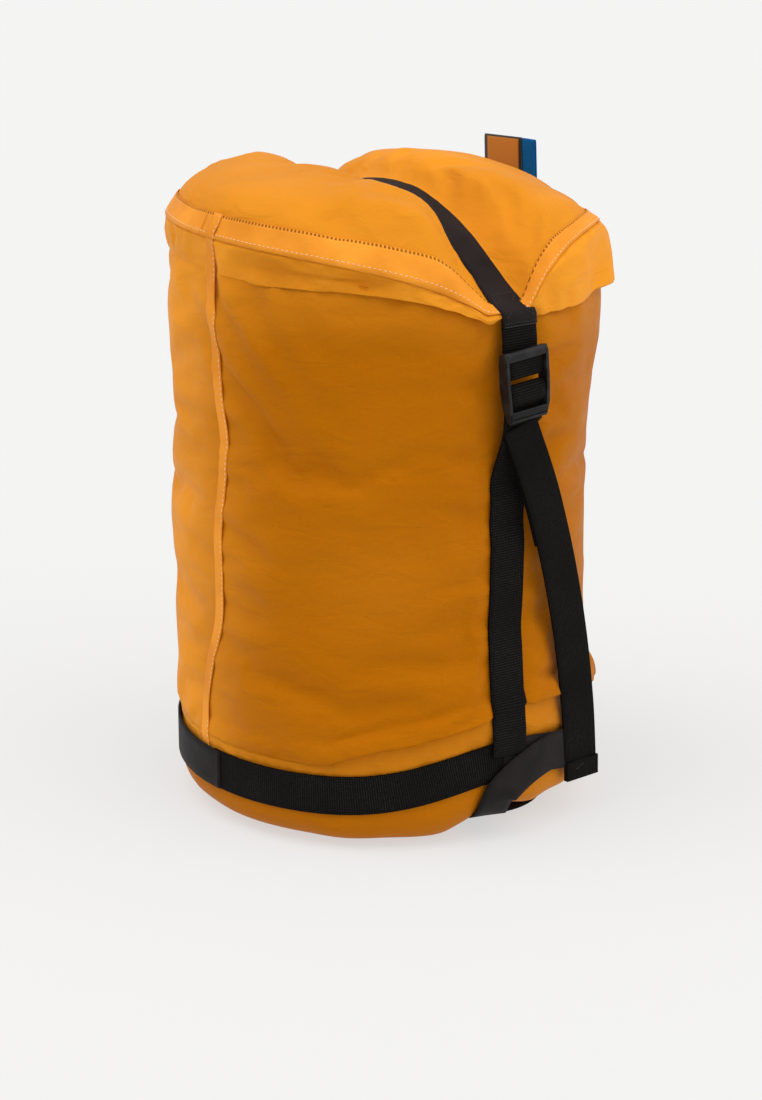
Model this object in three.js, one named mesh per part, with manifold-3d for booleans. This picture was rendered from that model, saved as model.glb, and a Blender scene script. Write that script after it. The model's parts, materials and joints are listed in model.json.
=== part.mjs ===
// Compression sack: a drawcord sack with a webbing harness, standing on the cap that covers its mouth.
// Millimetres, +Z up, origin at the middle of the footprint. The front strap is at -Y, the rear one at +Y.
import * as THREE from "three";
import { mergeVertices } from "three/addons/utils/BufferGeometryUtils.js";
import Module from "manifold-3d";

const wasm = await Module();
wasm.setup();

// ---- Driving dimensions -------------------------------------------------------------------------
const BODY_RADIUS = 134.7; // outside of the upper end of the tube
const RIM_HEIGHT = 384; // rim seam at the sides
const CROWN_RISE = 14; // middle of the domed end, above the rim
const RIM_DIP = 42; // how far the straps pull the rim down at the front and rear
const RIM_DIP_POWER = 6;
const LOBE_HEIGHT = 10; // the two lobes above the dome
const LOBE_PLACE = 60; // middle of each lobe, from the band
const LOBE_WIDTH = 40;
const LOBE_LENGTH = 62;
const CROWN_POWER = 2.6; // flatness of the dome's middle

const FABRIC = 1.5; // wall of a fabric shell
const WEBBING_WIDTH = 25;
const WEBBING = 1.6; // thickness of webbing
const TAPE = 1.2; // thickness of seam tape
const GAP = 0.4; // air between touching pieces

const COMPRESSION = 80; // how far the straps can draw the end down
const SLEEVE_LAP = 16; // how far the upper shell laps over the tube at rest
const TUBE_BOTTOM = 31;
const RING_BOTTOM = 24; // lower edge of the cap's webbing hem
const HEM_MARGIN = 13; // how far the cap's fabric stands above the webbing
const RING_LIFT = 17; // how far the straps pull the hem up
const RING_LIFT_POWER = 8;
const CAP_ROUNDING = 29.1; // from the flat that the sack stands on to the cap's wall

const VALLEY_FLANK = 29.5; // slope of the groove under the cap, on each side of the band
const VALLEY_HEIGHT = 14;
const CROWN_VALLEY_WIDTH = 22;
const CROWN_VALLEY_DEPTH = 5;
const RIM_VALLEY_DEPTH = 6;

const MOUTH_RADIUS = 20;
const HEM_CHANNEL = 7; // width of the rolled hem at the mouth

const SEAM_WIDTH = 8;
const RIM_TAPE_WIDTH = 9;

const LOCK_DROP = 26; // axis of the ladder lock's top bar, below the rim at the strap
const LOCK_PLAY = 0.9; // beside the webbing
const LOCK_LENGTH = 44;
const LOCK_WALL = 3.6;
const BAR_RADIUS = 2.2;
const MIDDLE_BAR_DROP = 21;
const MIDDLE_BAR_DEPTH = 6;
const MIDDLE_BAR_THICKNESS = 3;
const THREAD_RISE = 1.8; // how high the strap stands over the middle bar
const THREAD_DROP = 0.6; // where the strap starts to turn, below the bar's edges
const LIP_LENGTH = 9;
const LIP_THICKNESS = 3.2;

const TAIL_END_HEIGHT = 24; // where the free strap ends, above the ground
const TAIL_DRIFT = 16; // degrees the tail leans along the body
const TAIL_FOLD = 14; // folded hem at the tail's end
const TAIL_LAP = 8; // how far the tail still laps over its root when all the strap is through
const TAIL_TUCK = 14; // how far the tail's end lies in towards the body
const HANDLE_LENGTH = 60;
const HANDLE_BOW = 0.5; // how far the handle's ends stand above its middle
const HANDLE_PLACE = 45; // hinge side of the handle, from the middle of the base

const LOOP_WIDTH = 10;
const LOOP_HEIGHT = 28;
const LOOP_ANGLE = 7.8; // from +X
const LABEL_WIDTH = 29;
const LABEL_HEIGHT = 28;
const LABEL_ANGLE = 16.7; // from +X
const LABEL_THICKNESS = 1;
const TRIM_LEAN = 0.035; // how far loop and label lean outwards, per millimetre of height
const TRIM_FOOT = 3; // how far below the rim they are sewn in

const ROUND_STEPS = 60; // facets round the body

// ---- Sizes that follow from them ----------------------------------------------------------------
const SLEEVE_INSIDE = BODY_RADIUS - FABRIC;
const TUBE_RADIUS = SLEEVE_INSIDE - 2 * GAP - TAPE;
const RIM_LOW = RIM_HEIGHT - RIM_DIP;
const CROWN_HEIGHT = RIM_HEIGHT + CROWN_RISE;
const TUBE_TOP = RIM_LOW - COMPRESSION - 2 * FABRIC;
const SLEEVE_BOTTOM = TUBE_TOP - SLEEVE_LAP; // lower edge of the upper shell
const HEM_INSIDE = TUBE_RADIUS + GAP;
const HEM_OUTSIDE = HEM_INSIDE + FABRIC;
const HEM_HEIGHT = RING_BOTTOM + WEBBING_WIDTH + HEM_MARGIN;
const FOOT_RADIUS = HEM_OUTSIDE - CAP_ROUNDING;
const VALLEY_HALF_WIDTH = WEBBING_WIDTH / 2 + VALLEY_FLANK;
const RING_INSIDE = HEM_OUTSIDE + GAP;
const RING_OUTSIDE = RING_INSIDE + WEBBING;
const RISE_INSIDE = BODY_RADIUS + TAPE + 2 * GAP;
const RISE_OUTSIDE = RISE_INSIDE + WEBBING;
const RING_AT_STRAP = RING_BOTTOM + RING_LIFT;
// The ladder lock's parts, outwards from the body along -Y.
const THREAD_BACK = RISE_OUTSIDE + GAP;
const BAR_CENTRE = RISE_OUTSIDE + GAP + WEBBING + GAP + BAR_RADIUS;
const LOCK_TOP = RIM_LOW - LOCK_DROP;
const LOCK_WIDTH = WEBBING_WIDTH + 2 * LOCK_PLAY + 2 * LOCK_WALL;
const LOCK_BACK = RISE_INSIDE;
const LOCK_FRONT = BAR_CENTRE + BAR_RADIUS + WEBBING + 2 * GAP;
const LIP_BACK = THREAD_BACK + WEBBING + 2 * GAP;
const LOCK_BOTTOM = LOCK_TOP + BAR_RADIUS - LOCK_LENGTH;
const MIDDLE_BAR_TOP = LOCK_TOP - MIDDLE_BAR_DROP + MIDDLE_BAR_DEPTH / 2;

const FRONT = 1;
const REAR = -1;

// ---- Shapes of the fabric -----------------------------------------------------------------------
function strapPull(x, y, power) {
  const radius = Math.hypot(x, y) || 1;
  return Math.abs(y / radius) ** power;
}

function rimHeight(x, y) {
  return RIM_HEIGHT - RIM_DIP * strapPull(x, y, RIM_DIP_POWER);
}

function ringLift(x, y) {
  return RING_LIFT * strapPull(x, y, RING_LIFT_POWER);
}

// Height of the domed end over a point, with its two lobes and the groove under the band.
function crownHeight(x, y) {
  const reach = Math.min(1, Math.hypot(x, y) / BODY_RADIUS);
  const rim = rimHeight(x, y);
  const dome = rim + (CROWN_HEIGHT - rim) * (1 - reach ** CROWN_POWER);
  const lobe = Math.exp(-(((Math.abs(x) - LOBE_PLACE) / LOBE_WIDTH) ** 2) - (y / LOBE_LENGTH) ** 2);
  const groove = Math.exp(-((x / CROWN_VALLEY_WIDTH) ** 2));
  const depth = CROWN_VALLEY_DEPTH + RIM_VALLEY_DEPTH * reach * reach;
  const edge = 1 - reach ** 8;
  return dome + (LOBE_HEIGHT * lobe - depth * groove) * edge;
}

// Height of the groove under the cap.
function valleyHeight(x) {
  const share = 1 - (x / VALLEY_HALF_WIDTH) ** 2;
  return share > 0 ? VALLEY_HEIGHT * share * share : 0;
}

// ---- Geometry helpers ---------------------------------------------------------------------------
function displace(geometry, move) {
  const place = geometry.getAttribute("position");
  const point = new THREE.Vector3();
  for (let i = 0; i < place.count; i += 1) {
    point.fromBufferAttribute(place, i);
    move(point);
    place.setXYZ(i, point.x, point.y, point.z);
  }
  return geometry;
}

// A ring or shell about Z from a closed profile of [radius, height] points.
function turned(profile, steps = ROUND_STEPS) {
  const points = profile.map(([radius, height]) => new THREE.Vector2(radius, height));
  points.push(points[0].clone());
  return new THREE.LatheGeometry(points, steps).rotateX(Math.PI / 2);
}

// A closed band of even thickness on the outside of a line of [radius, height] points.
function bandProfile(line, thickness) {
  const inner = line.map(([radius, height]) => [radius - thickness, height]);
  return [...line, ...inner.reverse()];
}

// A strip of webbing whose centre line runs through [outward, height] points in the Y-Z plane.
function strip(line, thickness, width) {
  const centres = line.map(([outward, height]) => new THREE.Vector2(outward, height));
  const sides = centres.map((centre, i) => {
    const before = centres[Math.max(0, i - 1)];
    const after = centres[Math.min(centres.length - 1, i + 1)];
    const along = after.clone().sub(before).normalize();
    return new THREE.Vector2(-along.y, along.x).multiplyScalar(thickness / 2);
  });
  const left = centres.map((centre, i) => centre.clone().add(sides[i]));
  const right = centres.map((centre, i) => centre.clone().sub(sides[i])).reverse();
  const outline = new THREE.Shape([...left, ...right]);
  return extrudeAcross(outline, width);
}

// An outline in (outward, height) made a solid of the given width, centred on X = 0 at the front.
function extrudeAcross(outline, width, from = -width / 2) {
  const geometry = new THREE.ExtrudeGeometry(outline, { depth: width, bevelEnabled: false, curveSegments: 10 });
  return geometry.applyMatrix4(
    new THREE.Matrix4().set(0, 0, -1, from + width, -1, 0, 0, 0, 0, 1, 0, 0, 0, 0, 0, 1),
  );
}

// A piece of a ring about Z between two angles in degrees, from a flat outline raised to its height.
function arcBand(inside, outside, from, to, height) {
  const start = THREE.MathUtils.degToRad(from);
  const end = THREE.MathUtils.degToRad(to);
  const outline = new THREE.Shape();
  outline.absarc(0, 0, outside, start, end, false);
  outline.absarc(0, 0, inside, end, start, true);
  const curveSegments = Math.ceil((ROUND_STEPS * (to - from)) / 360);
  return new THREE.ExtrudeGeometry(outline, { depth: height, bevelEnabled: false, curveSegments });
}

function solidOf(geometry) {
  const bare = geometry.clone();
  bare.deleteAttribute("normal");
  bare.deleteAttribute("uv");
  const merged = mergeVertices(bare, 1e-3);
  const vertProperties = new Float32Array(merged.getAttribute("position").array);
  const triVerts = new Uint32Array(merged.index.array);
  return new wasm.Manifold(new wasm.Mesh({ numProp: 3, vertProperties, triVerts }));
}

function geometryOf(solid) {
  const mesh = solid.getMesh();
  const geometry = new THREE.BufferGeometry();
  geometry.setAttribute("position", new THREE.BufferAttribute(mesh.vertProperties, 3));
  geometry.setIndex(new THREE.BufferAttribute(mesh.triVerts, 1));
  return geometry;
}

function joined(geometries) {
  return geometryOf(geometries.map(solidOf).reduce((whole, piece) => whole.add(piece)));
}

// ---- Materials ----------------------------------------------------------------------------------
function finish(color, roughness) {
  return new THREE.MeshStandardMaterial({ color, roughness, metalness: 0 });
}

const orangeNylon = () => finish(0xd88420, 0.62);
const seamTapeOrange = () => finish(0xf2a03c, 0.55);
const blackWebbing = () => finish(0x19140f, 0.85);
const blackTwill = () => finish(0x2f2023, 0.7);
const blackPlastic = () => finish(0x121214, 0.42);
const blueWebbing = () => finish(0x085e9a, 0.7);
const goldWeave = () => finish(0xbe7109, 0.5);

const sack = new THREE.Group();

function add(name, geometry, material, side = FRONT) {
  const mesh = new THREE.Mesh(geometry, material);
  mesh.name = name;
  mesh.rotation.z = side === FRONT ? 0 : Math.PI;
  sack.add(mesh);
}

// ---- The sack's own fabric ----------------------------------------------------------------------
// The tube inside the harness. Its upper end slides up into the sleeve as the sack gets shorter.
function sidePanel() {
  const line = [
    [TUBE_RADIUS, TUBE_BOTTOM],
    [TUBE_RADIUS, HEM_HEIGHT],
    [TUBE_RADIUS, (HEM_HEIGHT + TUBE_TOP) / 2],
    [TUBE_RADIUS, TUBE_TOP],
  ];
  return turned(bandProfile(line, FABRIC));
}

// The upper length of the tube, whose top edge follows the rim.
function upperSidePanel() {
  const rows = 4;
  const line = [];
  for (let i = 0; i <= rows; i += 1) line.push([BODY_RADIUS, i / rows]);
  return displace(turned(bandProfile(line, FABRIC)), (point) => {
    const top = rimHeight(point.x, point.y) - FABRIC - GAP;
    point.z = SLEEVE_BOTTOM + point.z * (top - SLEEVE_BOTTOM);
  });
}

function endPanel() {
  const rows = 12;
  const reach = BODY_RADIUS;
  const profile = [];
  for (let i = 0; i <= rows; i += 1) profile.push([(reach * i) / rows, 0]);
  for (let i = rows; i >= 0; i -= 1) profile.push([(reach * i) / rows, FABRIC]);
  return displace(turned(profile), (point) => {
    point.z += crownHeight(point.x, point.y) - FABRIC;
  });
}

function rimTape() {
  const inside = BODY_RADIUS + GAP;
  const outside = inside + TAPE;
  const low = -RIM_TAPE_WIDTH;
  const profile = [[inside, low], [outside, low], [outside, 0], [inside, 0]];
  return displace(turned(profile), (point) => {
    point.z += rimHeight(point.x, point.y);
  });
}

// The seam tape up the -X side, in one length on the tube and one on the upper shell.
function seamTape(radius, bottom, top) {
  const outline = new THREE.Shape([
    new THREE.Vector2(radius + GAP, bottom),
    new THREE.Vector2(radius + GAP + TAPE, bottom),
    new THREE.Vector2(radius + GAP + TAPE, top),
    new THREE.Vector2(radius + GAP, top),
  ]);
  return extrudeAcross(outline, SEAM_WIDTH).rotateZ(-Math.PI / 2);
}

// ---- The mouth, gathered inside the cap ---------------------------------------------------------
function mouthGather() {
  const outer = TUBE_RADIUS - GAP;
  const line = [
    [MOUTH_RADIUS + HEM_CHANNEL + GAP, VALLEY_HEIGHT + 6],
    [outer * 0.6, VALLEY_HEIGHT + 8],
    [outer * 0.9, VALLEY_HEIGHT + 10],
    [outer, TUBE_BOTTOM - 2 * GAP],
  ];
  const top = line.map(([radius, height]) => [radius, height + FABRIC]).reverse();
  const lowered = [...line.slice(0, -1), [outer, TUBE_BOTTOM - GAP - FABRIC], ...top.slice(1)];
  lowered.splice(line.length, 0, [outer, TUBE_BOTTOM - GAP]);
  return turned(lowered);
}

function mouthHem() {
  const centre = MOUTH_RADIUS + HEM_CHANNEL / 2;
  const profile = [];
  const sides = 12;
  for (let i = 0; i < sides; i += 1) {
    const angle = (2 * Math.PI * i) / sides;
    const radius = centre + (HEM_CHANNEL / 2) * Math.cos(angle);
    profile.push([radius, VALLEY_HEIGHT + 6 + (HEM_CHANNEL / 2) * Math.sin(angle)]);
  }
  return turned(profile, 36);
}

// ---- The cap and its webbing --------------------------------------------------------------------
function capPanel() {
  const flat = 7;
  const wallOutside = [];
  for (let i = 0; i <= flat; i += 1) wallOutside.push([(FOOT_RADIUS * i) / flat, 0]);
  const bulge = new THREE.Path();
  bulge.absellipse(FOOT_RADIUS, RING_BOTTOM + 2, HEM_OUTSIDE - FOOT_RADIUS, RING_BOTTOM + 2, -Math.PI / 2, 0);
  const round = 6;
  for (let i = 1; i <= round; i += 1) {
    const point = bulge.getPoint(i / round);
    wallOutside.push([point.x, point.y]);
  }
  wallOutside.push([HEM_OUTSIDE, HEM_HEIGHT]);
  const wallInside = [[HEM_INSIDE, HEM_HEIGHT]];
  const inner = new THREE.Path();
  const rise = RING_BOTTOM + 2 - FABRIC;
  inner.absellipse(FOOT_RADIUS, RING_BOTTOM + 2, HEM_INSIDE - FOOT_RADIUS, rise, -Math.PI / 2, 0);
  for (let i = round; i >= 1; i -= 1) {
    const point = inner.getPoint(i / round);
    wallInside.push([point.x, point.y]);
  }
  for (let i = flat; i >= 0; i -= 1) wallInside.push([(FOOT_RADIUS * i) / flat, FABRIC]);
  return displace(turned([...wallOutside, ...wallInside]), (point) => {
    const lowness = Math.max(0, 1 - point.z / RING_BOTTOM);
    point.z += valleyHeight(point.x) * Math.min(1, lowness * 1.6);
    if (point.z >= HEM_HEIGHT - GAP) point.z += ringLift(point.x, point.y) / 2;
  });
}

function ringWebbing(from, to) {
  const arc = arcBand(RING_INSIDE, RING_OUTSIDE, from, to, WEBBING_WIDTH);
  return displace(arc, (point) => {
    point.z += RING_BOTTOM + ringLift(point.x, point.y);
  });
}

// The band under the cap, sewn to the hem at the front and the rear.
function baseBand() {
  const outer = RING_OUTSIDE + GAP + WEBBING / 2;
  const low = VALLEY_HEIGHT - GAP - WEBBING / 2 - 3;
  const half = [
    [outer, RING_AT_STRAP + WEBBING_WIDTH],
    [outer, RING_AT_STRAP],
    [outer - 2, RING_AT_STRAP * 0.55],
    [outer - 14, low + 3],
    [FOOT_RADIUS, low],
    [FOOT_RADIUS / 2, low],
  ];
  const other = half.map(([outward, height]) => [-outward, height]).reverse();
  return strip([...half, [0, low], ...other], WEBBING, WEBBING_WIDTH);
}

// The slack grab handle that crosses the groove under the base.
function carryHandle() {
  const handle = new THREE.BoxGeometry(HANDLE_LENGTH, WEBBING_WIDTH, WEBBING, 12, 1, 1);
  handle.translate(0, -HANDLE_PLACE - WEBBING_WIDTH / 2, 0);
  return displace(handle, (point) => {
    const share = point.x / (HANDLE_LENGTH / 2);
    point.z += GAP + WEBBING / 2 + HANDLE_BOW * share * share;
  });
}

// ---- The harness --------------------------------------------------------------------------------
// The smooth band that lies in the groove over the domed end.
function topBand() {
  const steps = 26;
  const edge = BODY_RADIUS + GAP + TAPE + GAP + WEBBING / 2;
  const line = [];
  for (let i = 0; i <= steps; i += 1) {
    const outward = BODY_RADIUS * Math.cos((Math.PI * i) / steps);
    let height = crownHeight(0, outward);
    for (const x of [WEBBING_WIDTH / 4, WEBBING_WIDTH / 2]) height = Math.max(height, crownHeight(x, outward));
    line.push([outward, height + GAP + WEBBING / 2 + 1]);
  }
  const drop = [edge, RIM_LOW - RIM_TAPE_WIDTH];
  const corner = [edge, RIM_LOW + 2.4];
  const mirrored = ([outward, height]) => [-outward, height];
  return strip([drop, corner, ...line.slice(1, -1), mirrored(corner), mirrored(drop)], WEBBING, WEBBING_WIDTH);
}

// The webbing from the rim that is looped round the ladder lock's top bar and sewn back on itself.
function upperWebbing() {
  const back = BODY_RADIUS + TAPE + 2 * GAP + WEBBING / 2;
  const loop = BAR_RADIUS + GAP + WEBBING / 2;
  const line = [[back, RIM_LOW - RIM_TAPE_WIDTH - GAP], [back, LOCK_TOP + loop * 2.4]];
  const turn = 8;
  const start = Math.PI * 0.75;
  const sweep = Math.PI * 1.35;
  for (let i = 0; i <= turn; i += 1) {
    const angle = start + (sweep * i) / turn;
    line.push([BAR_CENTRE + loop * Math.cos(angle), LOCK_TOP + loop * Math.sin(angle)]);
  }
  return strip(line, WEBBING, WEBBING_WIDTH);
}

function bar(outward, height, radius, width) {
  const shape = new THREE.Shape();
  shape.absarc(outward, height, radius, 0, 2 * Math.PI, false);
  return extrudeAcross(shape, width);
}

function block(back, front, bottom, top, width, from) {
  const shape = new THREE.Shape([
    new THREE.Vector2(back, bottom),
    new THREE.Vector2(front, bottom),
    new THREE.Vector2(front, top),
    new THREE.Vector2(back, top),
  ]);
  return extrudeAcross(shape, width, from);
}

// Two side walls joined by three bars: the round top bar, the middle bar and the lip.
function ladderLock() {
  const inside = LOCK_WIDTH / 2 - LOCK_WALL;
  const top = LOCK_TOP + BAR_RADIUS + 1;
  const wall = (from) => block(LOCK_BACK + 1, LOCK_FRONT, LOCK_BOTTOM, top, LOCK_WALL, from);
  const span = 2 * inside + LOCK_WALL;
  const middleBack = THREAD_BACK + WEBBING + GAP;
  const middleFront = middleBack + MIDDLE_BAR_THICKNESS;
  const middle = block(middleBack, middleFront, MIDDLE_BAR_TOP - MIDDLE_BAR_DEPTH, MIDDLE_BAR_TOP, span);
  const lip = block(LIP_BACK, LIP_BACK + LIP_THICKNESS, LOCK_BOTTOM, LOCK_BOTTOM + LIP_LENGTH, span);
  const topBar = bar(BAR_CENTRE, LOCK_TOP, BAR_RADIUS, span);
  return joined([wall(-LOCK_WIDTH / 2), wall(inside), topBar, middle, lip]);
}

// The strap from the hem up behind the lock.
function strapRise() {
  const centre = RISE_INSIDE + WEBBING / 2;
  const top = MIDDLE_BAR_TOP + GAP;
  return strip([[centre, RING_AT_STRAP + WEBBING_WIDTH + GAP], [centre, top]], WEBBING, WEBBING_WIDTH);
}

// The strap where it turns over the middle bar and goes down behind the lip.
function strapThread() {
  const centre = THREAD_BACK + WEBBING / 2;
  const over = centre + WEBBING + MIDDLE_BAR_THICKNESS + 2 * GAP;
  const middleBottom = MIDDLE_BAR_TOP - MIDDLE_BAR_DEPTH;
  const lipTop = LOCK_BOTTOM + LIP_LENGTH;
  const line = [[centre, middleBottom]];
  const steps = 6;
  for (let i = 0; i <= steps; i += 1) {
    const angle = Math.PI * (1 - i / steps);
    const outward = (centre + over) / 2 + ((over - centre) / 2) * Math.cos(angle);
    line.push([outward, MIDDLE_BAR_TOP - THREAD_DROP + (WEBBING + THREAD_RISE) * Math.sin(angle)]);
  }
  line.push([over, middleBottom - THREAD_DROP]);
  line.push([centre, lipTop + 2 * THREAD_DROP]);
  line.push([centre, LOCK_BOTTOM]);
  return strip(line, WEBBING, WEBBING_WIDTH);
}

// Swings a strip that hangs from the lip sideways along the body.
function drifted(geometry) {
  const angle = THREE.MathUtils.degToRad(TAIL_DRIFT);
  const up = -LOCK_BOTTOM;
  return geometry.translate(0, 0, up).rotateY(-angle).translate(0, 0, -up);
}

// Where the free strap starts, low enough for its leaning corner to clear the lip.
function tailTop() {
  return LOCK_BOTTOM - (WEBBING_WIDTH / 2) * Math.sin(THREE.MathUtils.degToRad(TAIL_DRIFT)) - 2 * GAP;
}

// The first length of the free strap, under the lip. The rest slides over it as strap is pulled through.
function tailRoot() {
  const centre = THREAD_BACK + WEBBING / 2;
  const length = COMPRESSION + TAIL_LAP;
  return drifted(strip([[centre, tailTop()], [centre, tailTop() - length]], WEBBING, WEBBING_WIDTH));
}

function strapTail() {
  const centre = THREAD_BACK + WEBBING + GAP + WEBBING / 2;
  const top = tailTop();
  const end = LOCK_BOTTOM - (LOCK_BOTTOM - TAIL_END_HEIGHT) / Math.cos(THREE.MathUtils.degToRad(TAIL_DRIFT));
  const bend = top - COMPRESSION - 2 * TAIL_LAP;
  const line = [[centre, top]];
  const steps = 4;
  for (let i = 0; i <= steps; i += 1) {
    const share = i / steps;
    line.push([centre - TAIL_TUCK * share * share, bend + (end - bend) * share]);
  }
  const tail = strip(line, WEBBING, WEBBING_WIDTH);
  const hem = centre - TAIL_TUCK + WEBBING - GAP;
  const fold = strip([[hem, end], [hem + TAIL_FOLD / 4, end + TAIL_FOLD]], WEBBING, WEBBING_WIDTH);
  return drifted(joined([tail, fold]));
}

// ---- Small trim in the rim seam -----------------------------------------------------------------
function standing(width, height, thickness, angle) {
  const turn = THREE.MathUtils.degToRad(angle);
  const radius = BODY_RADIUS + TAPE + 3 * GAP + thickness / 2;
  const foot = RIM_HEIGHT - TRIM_FOOT;
  const flat = new THREE.BoxGeometry(thickness, width, height, 1, 1, 4);
  flat.translate(0, 0, height / 2);
  displace(flat, (point) => {
    point.x += radius + TRIM_LEAN * point.z;
    point.z += foot;
  });
  return flat.rotateZ(turn);
}

// ---- Assembly -----------------------------------------------------------------------------------
add("cap_panel", capPanel(), orangeNylon());
add("ring_webbing_ribbed", ringWebbing(180.4, 269.7), blackWebbing());
add("ring_band_smooth", ringWebbing(-89.9, 180), blackTwill());
add("base_band", baseBand(), blackTwill());
add("carry_handle", carryHandle(), blackWebbing());
add("side_panel", sidePanel(), orangeNylon());
add("side_seam_tape", seamTape(TUBE_RADIUS, HEM_HEIGHT + GAP, TUBE_TOP), seamTapeOrange());
add("mouth_gather", mouthGather(), orangeNylon());
add("mouth_hem", mouthHem(), orangeNylon());

add("upper_side_panel", upperSidePanel(), orangeNylon());
add("end_panel", endPanel(), orangeNylon());
add("rim_seam_tape", rimTape(), seamTapeOrange());
add(
  "upper_seam_tape",
  seamTape(BODY_RADIUS, SLEEVE_BOTTOM, RIM_HEIGHT - RIM_TAPE_WIDTH - GAP),
  seamTapeOrange(),
);
add("top_band", topBand(), blackTwill());
add("hang_loop", standing(LOOP_WIDTH, LOOP_HEIGHT, WEBBING, LOOP_ANGLE), blueWebbing());
add("woven_label", standing(LABEL_WIDTH, LABEL_HEIGHT, LABEL_THICKNESS, LABEL_ANGLE), goldWeave());

for (const [place, side] of [["front", FRONT], ["rear", REAR]]) {
  add(place + "_strap_rise", strapRise(), blackWebbing(), side);
  add(place + "_upper_webbing", upperWebbing(), blackWebbing(), side);
  add(place + "_ladder_lock", ladderLock(), blackPlastic(), side);
  add(place + "_strap_thread", strapThread(), blackWebbing(), side);
  add(place + "_tail_root", tailRoot(), blackWebbing(), side);
  add(place + "_strap_tail", strapTail(), blackWebbing(), side);
}

export default sack;
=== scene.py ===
"""Compression sack: an orange sack in a black webbing harness, standing on the cap that covers its mouth.

The sack's fabric, the cap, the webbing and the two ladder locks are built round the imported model, in its
frame. Shapes are worked out in millimetres and turned to metres when a point is placed. Angles are in degrees
about the sack's axis: the front strap is at -90, the rear one at 90 and the side seam near 180.
"""

import json
import logging
import math
from dataclasses import dataclass
from dataclasses import field
from enum import Enum
from functools import lru_cache
from typing import Callable
from typing import Sequence

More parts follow.
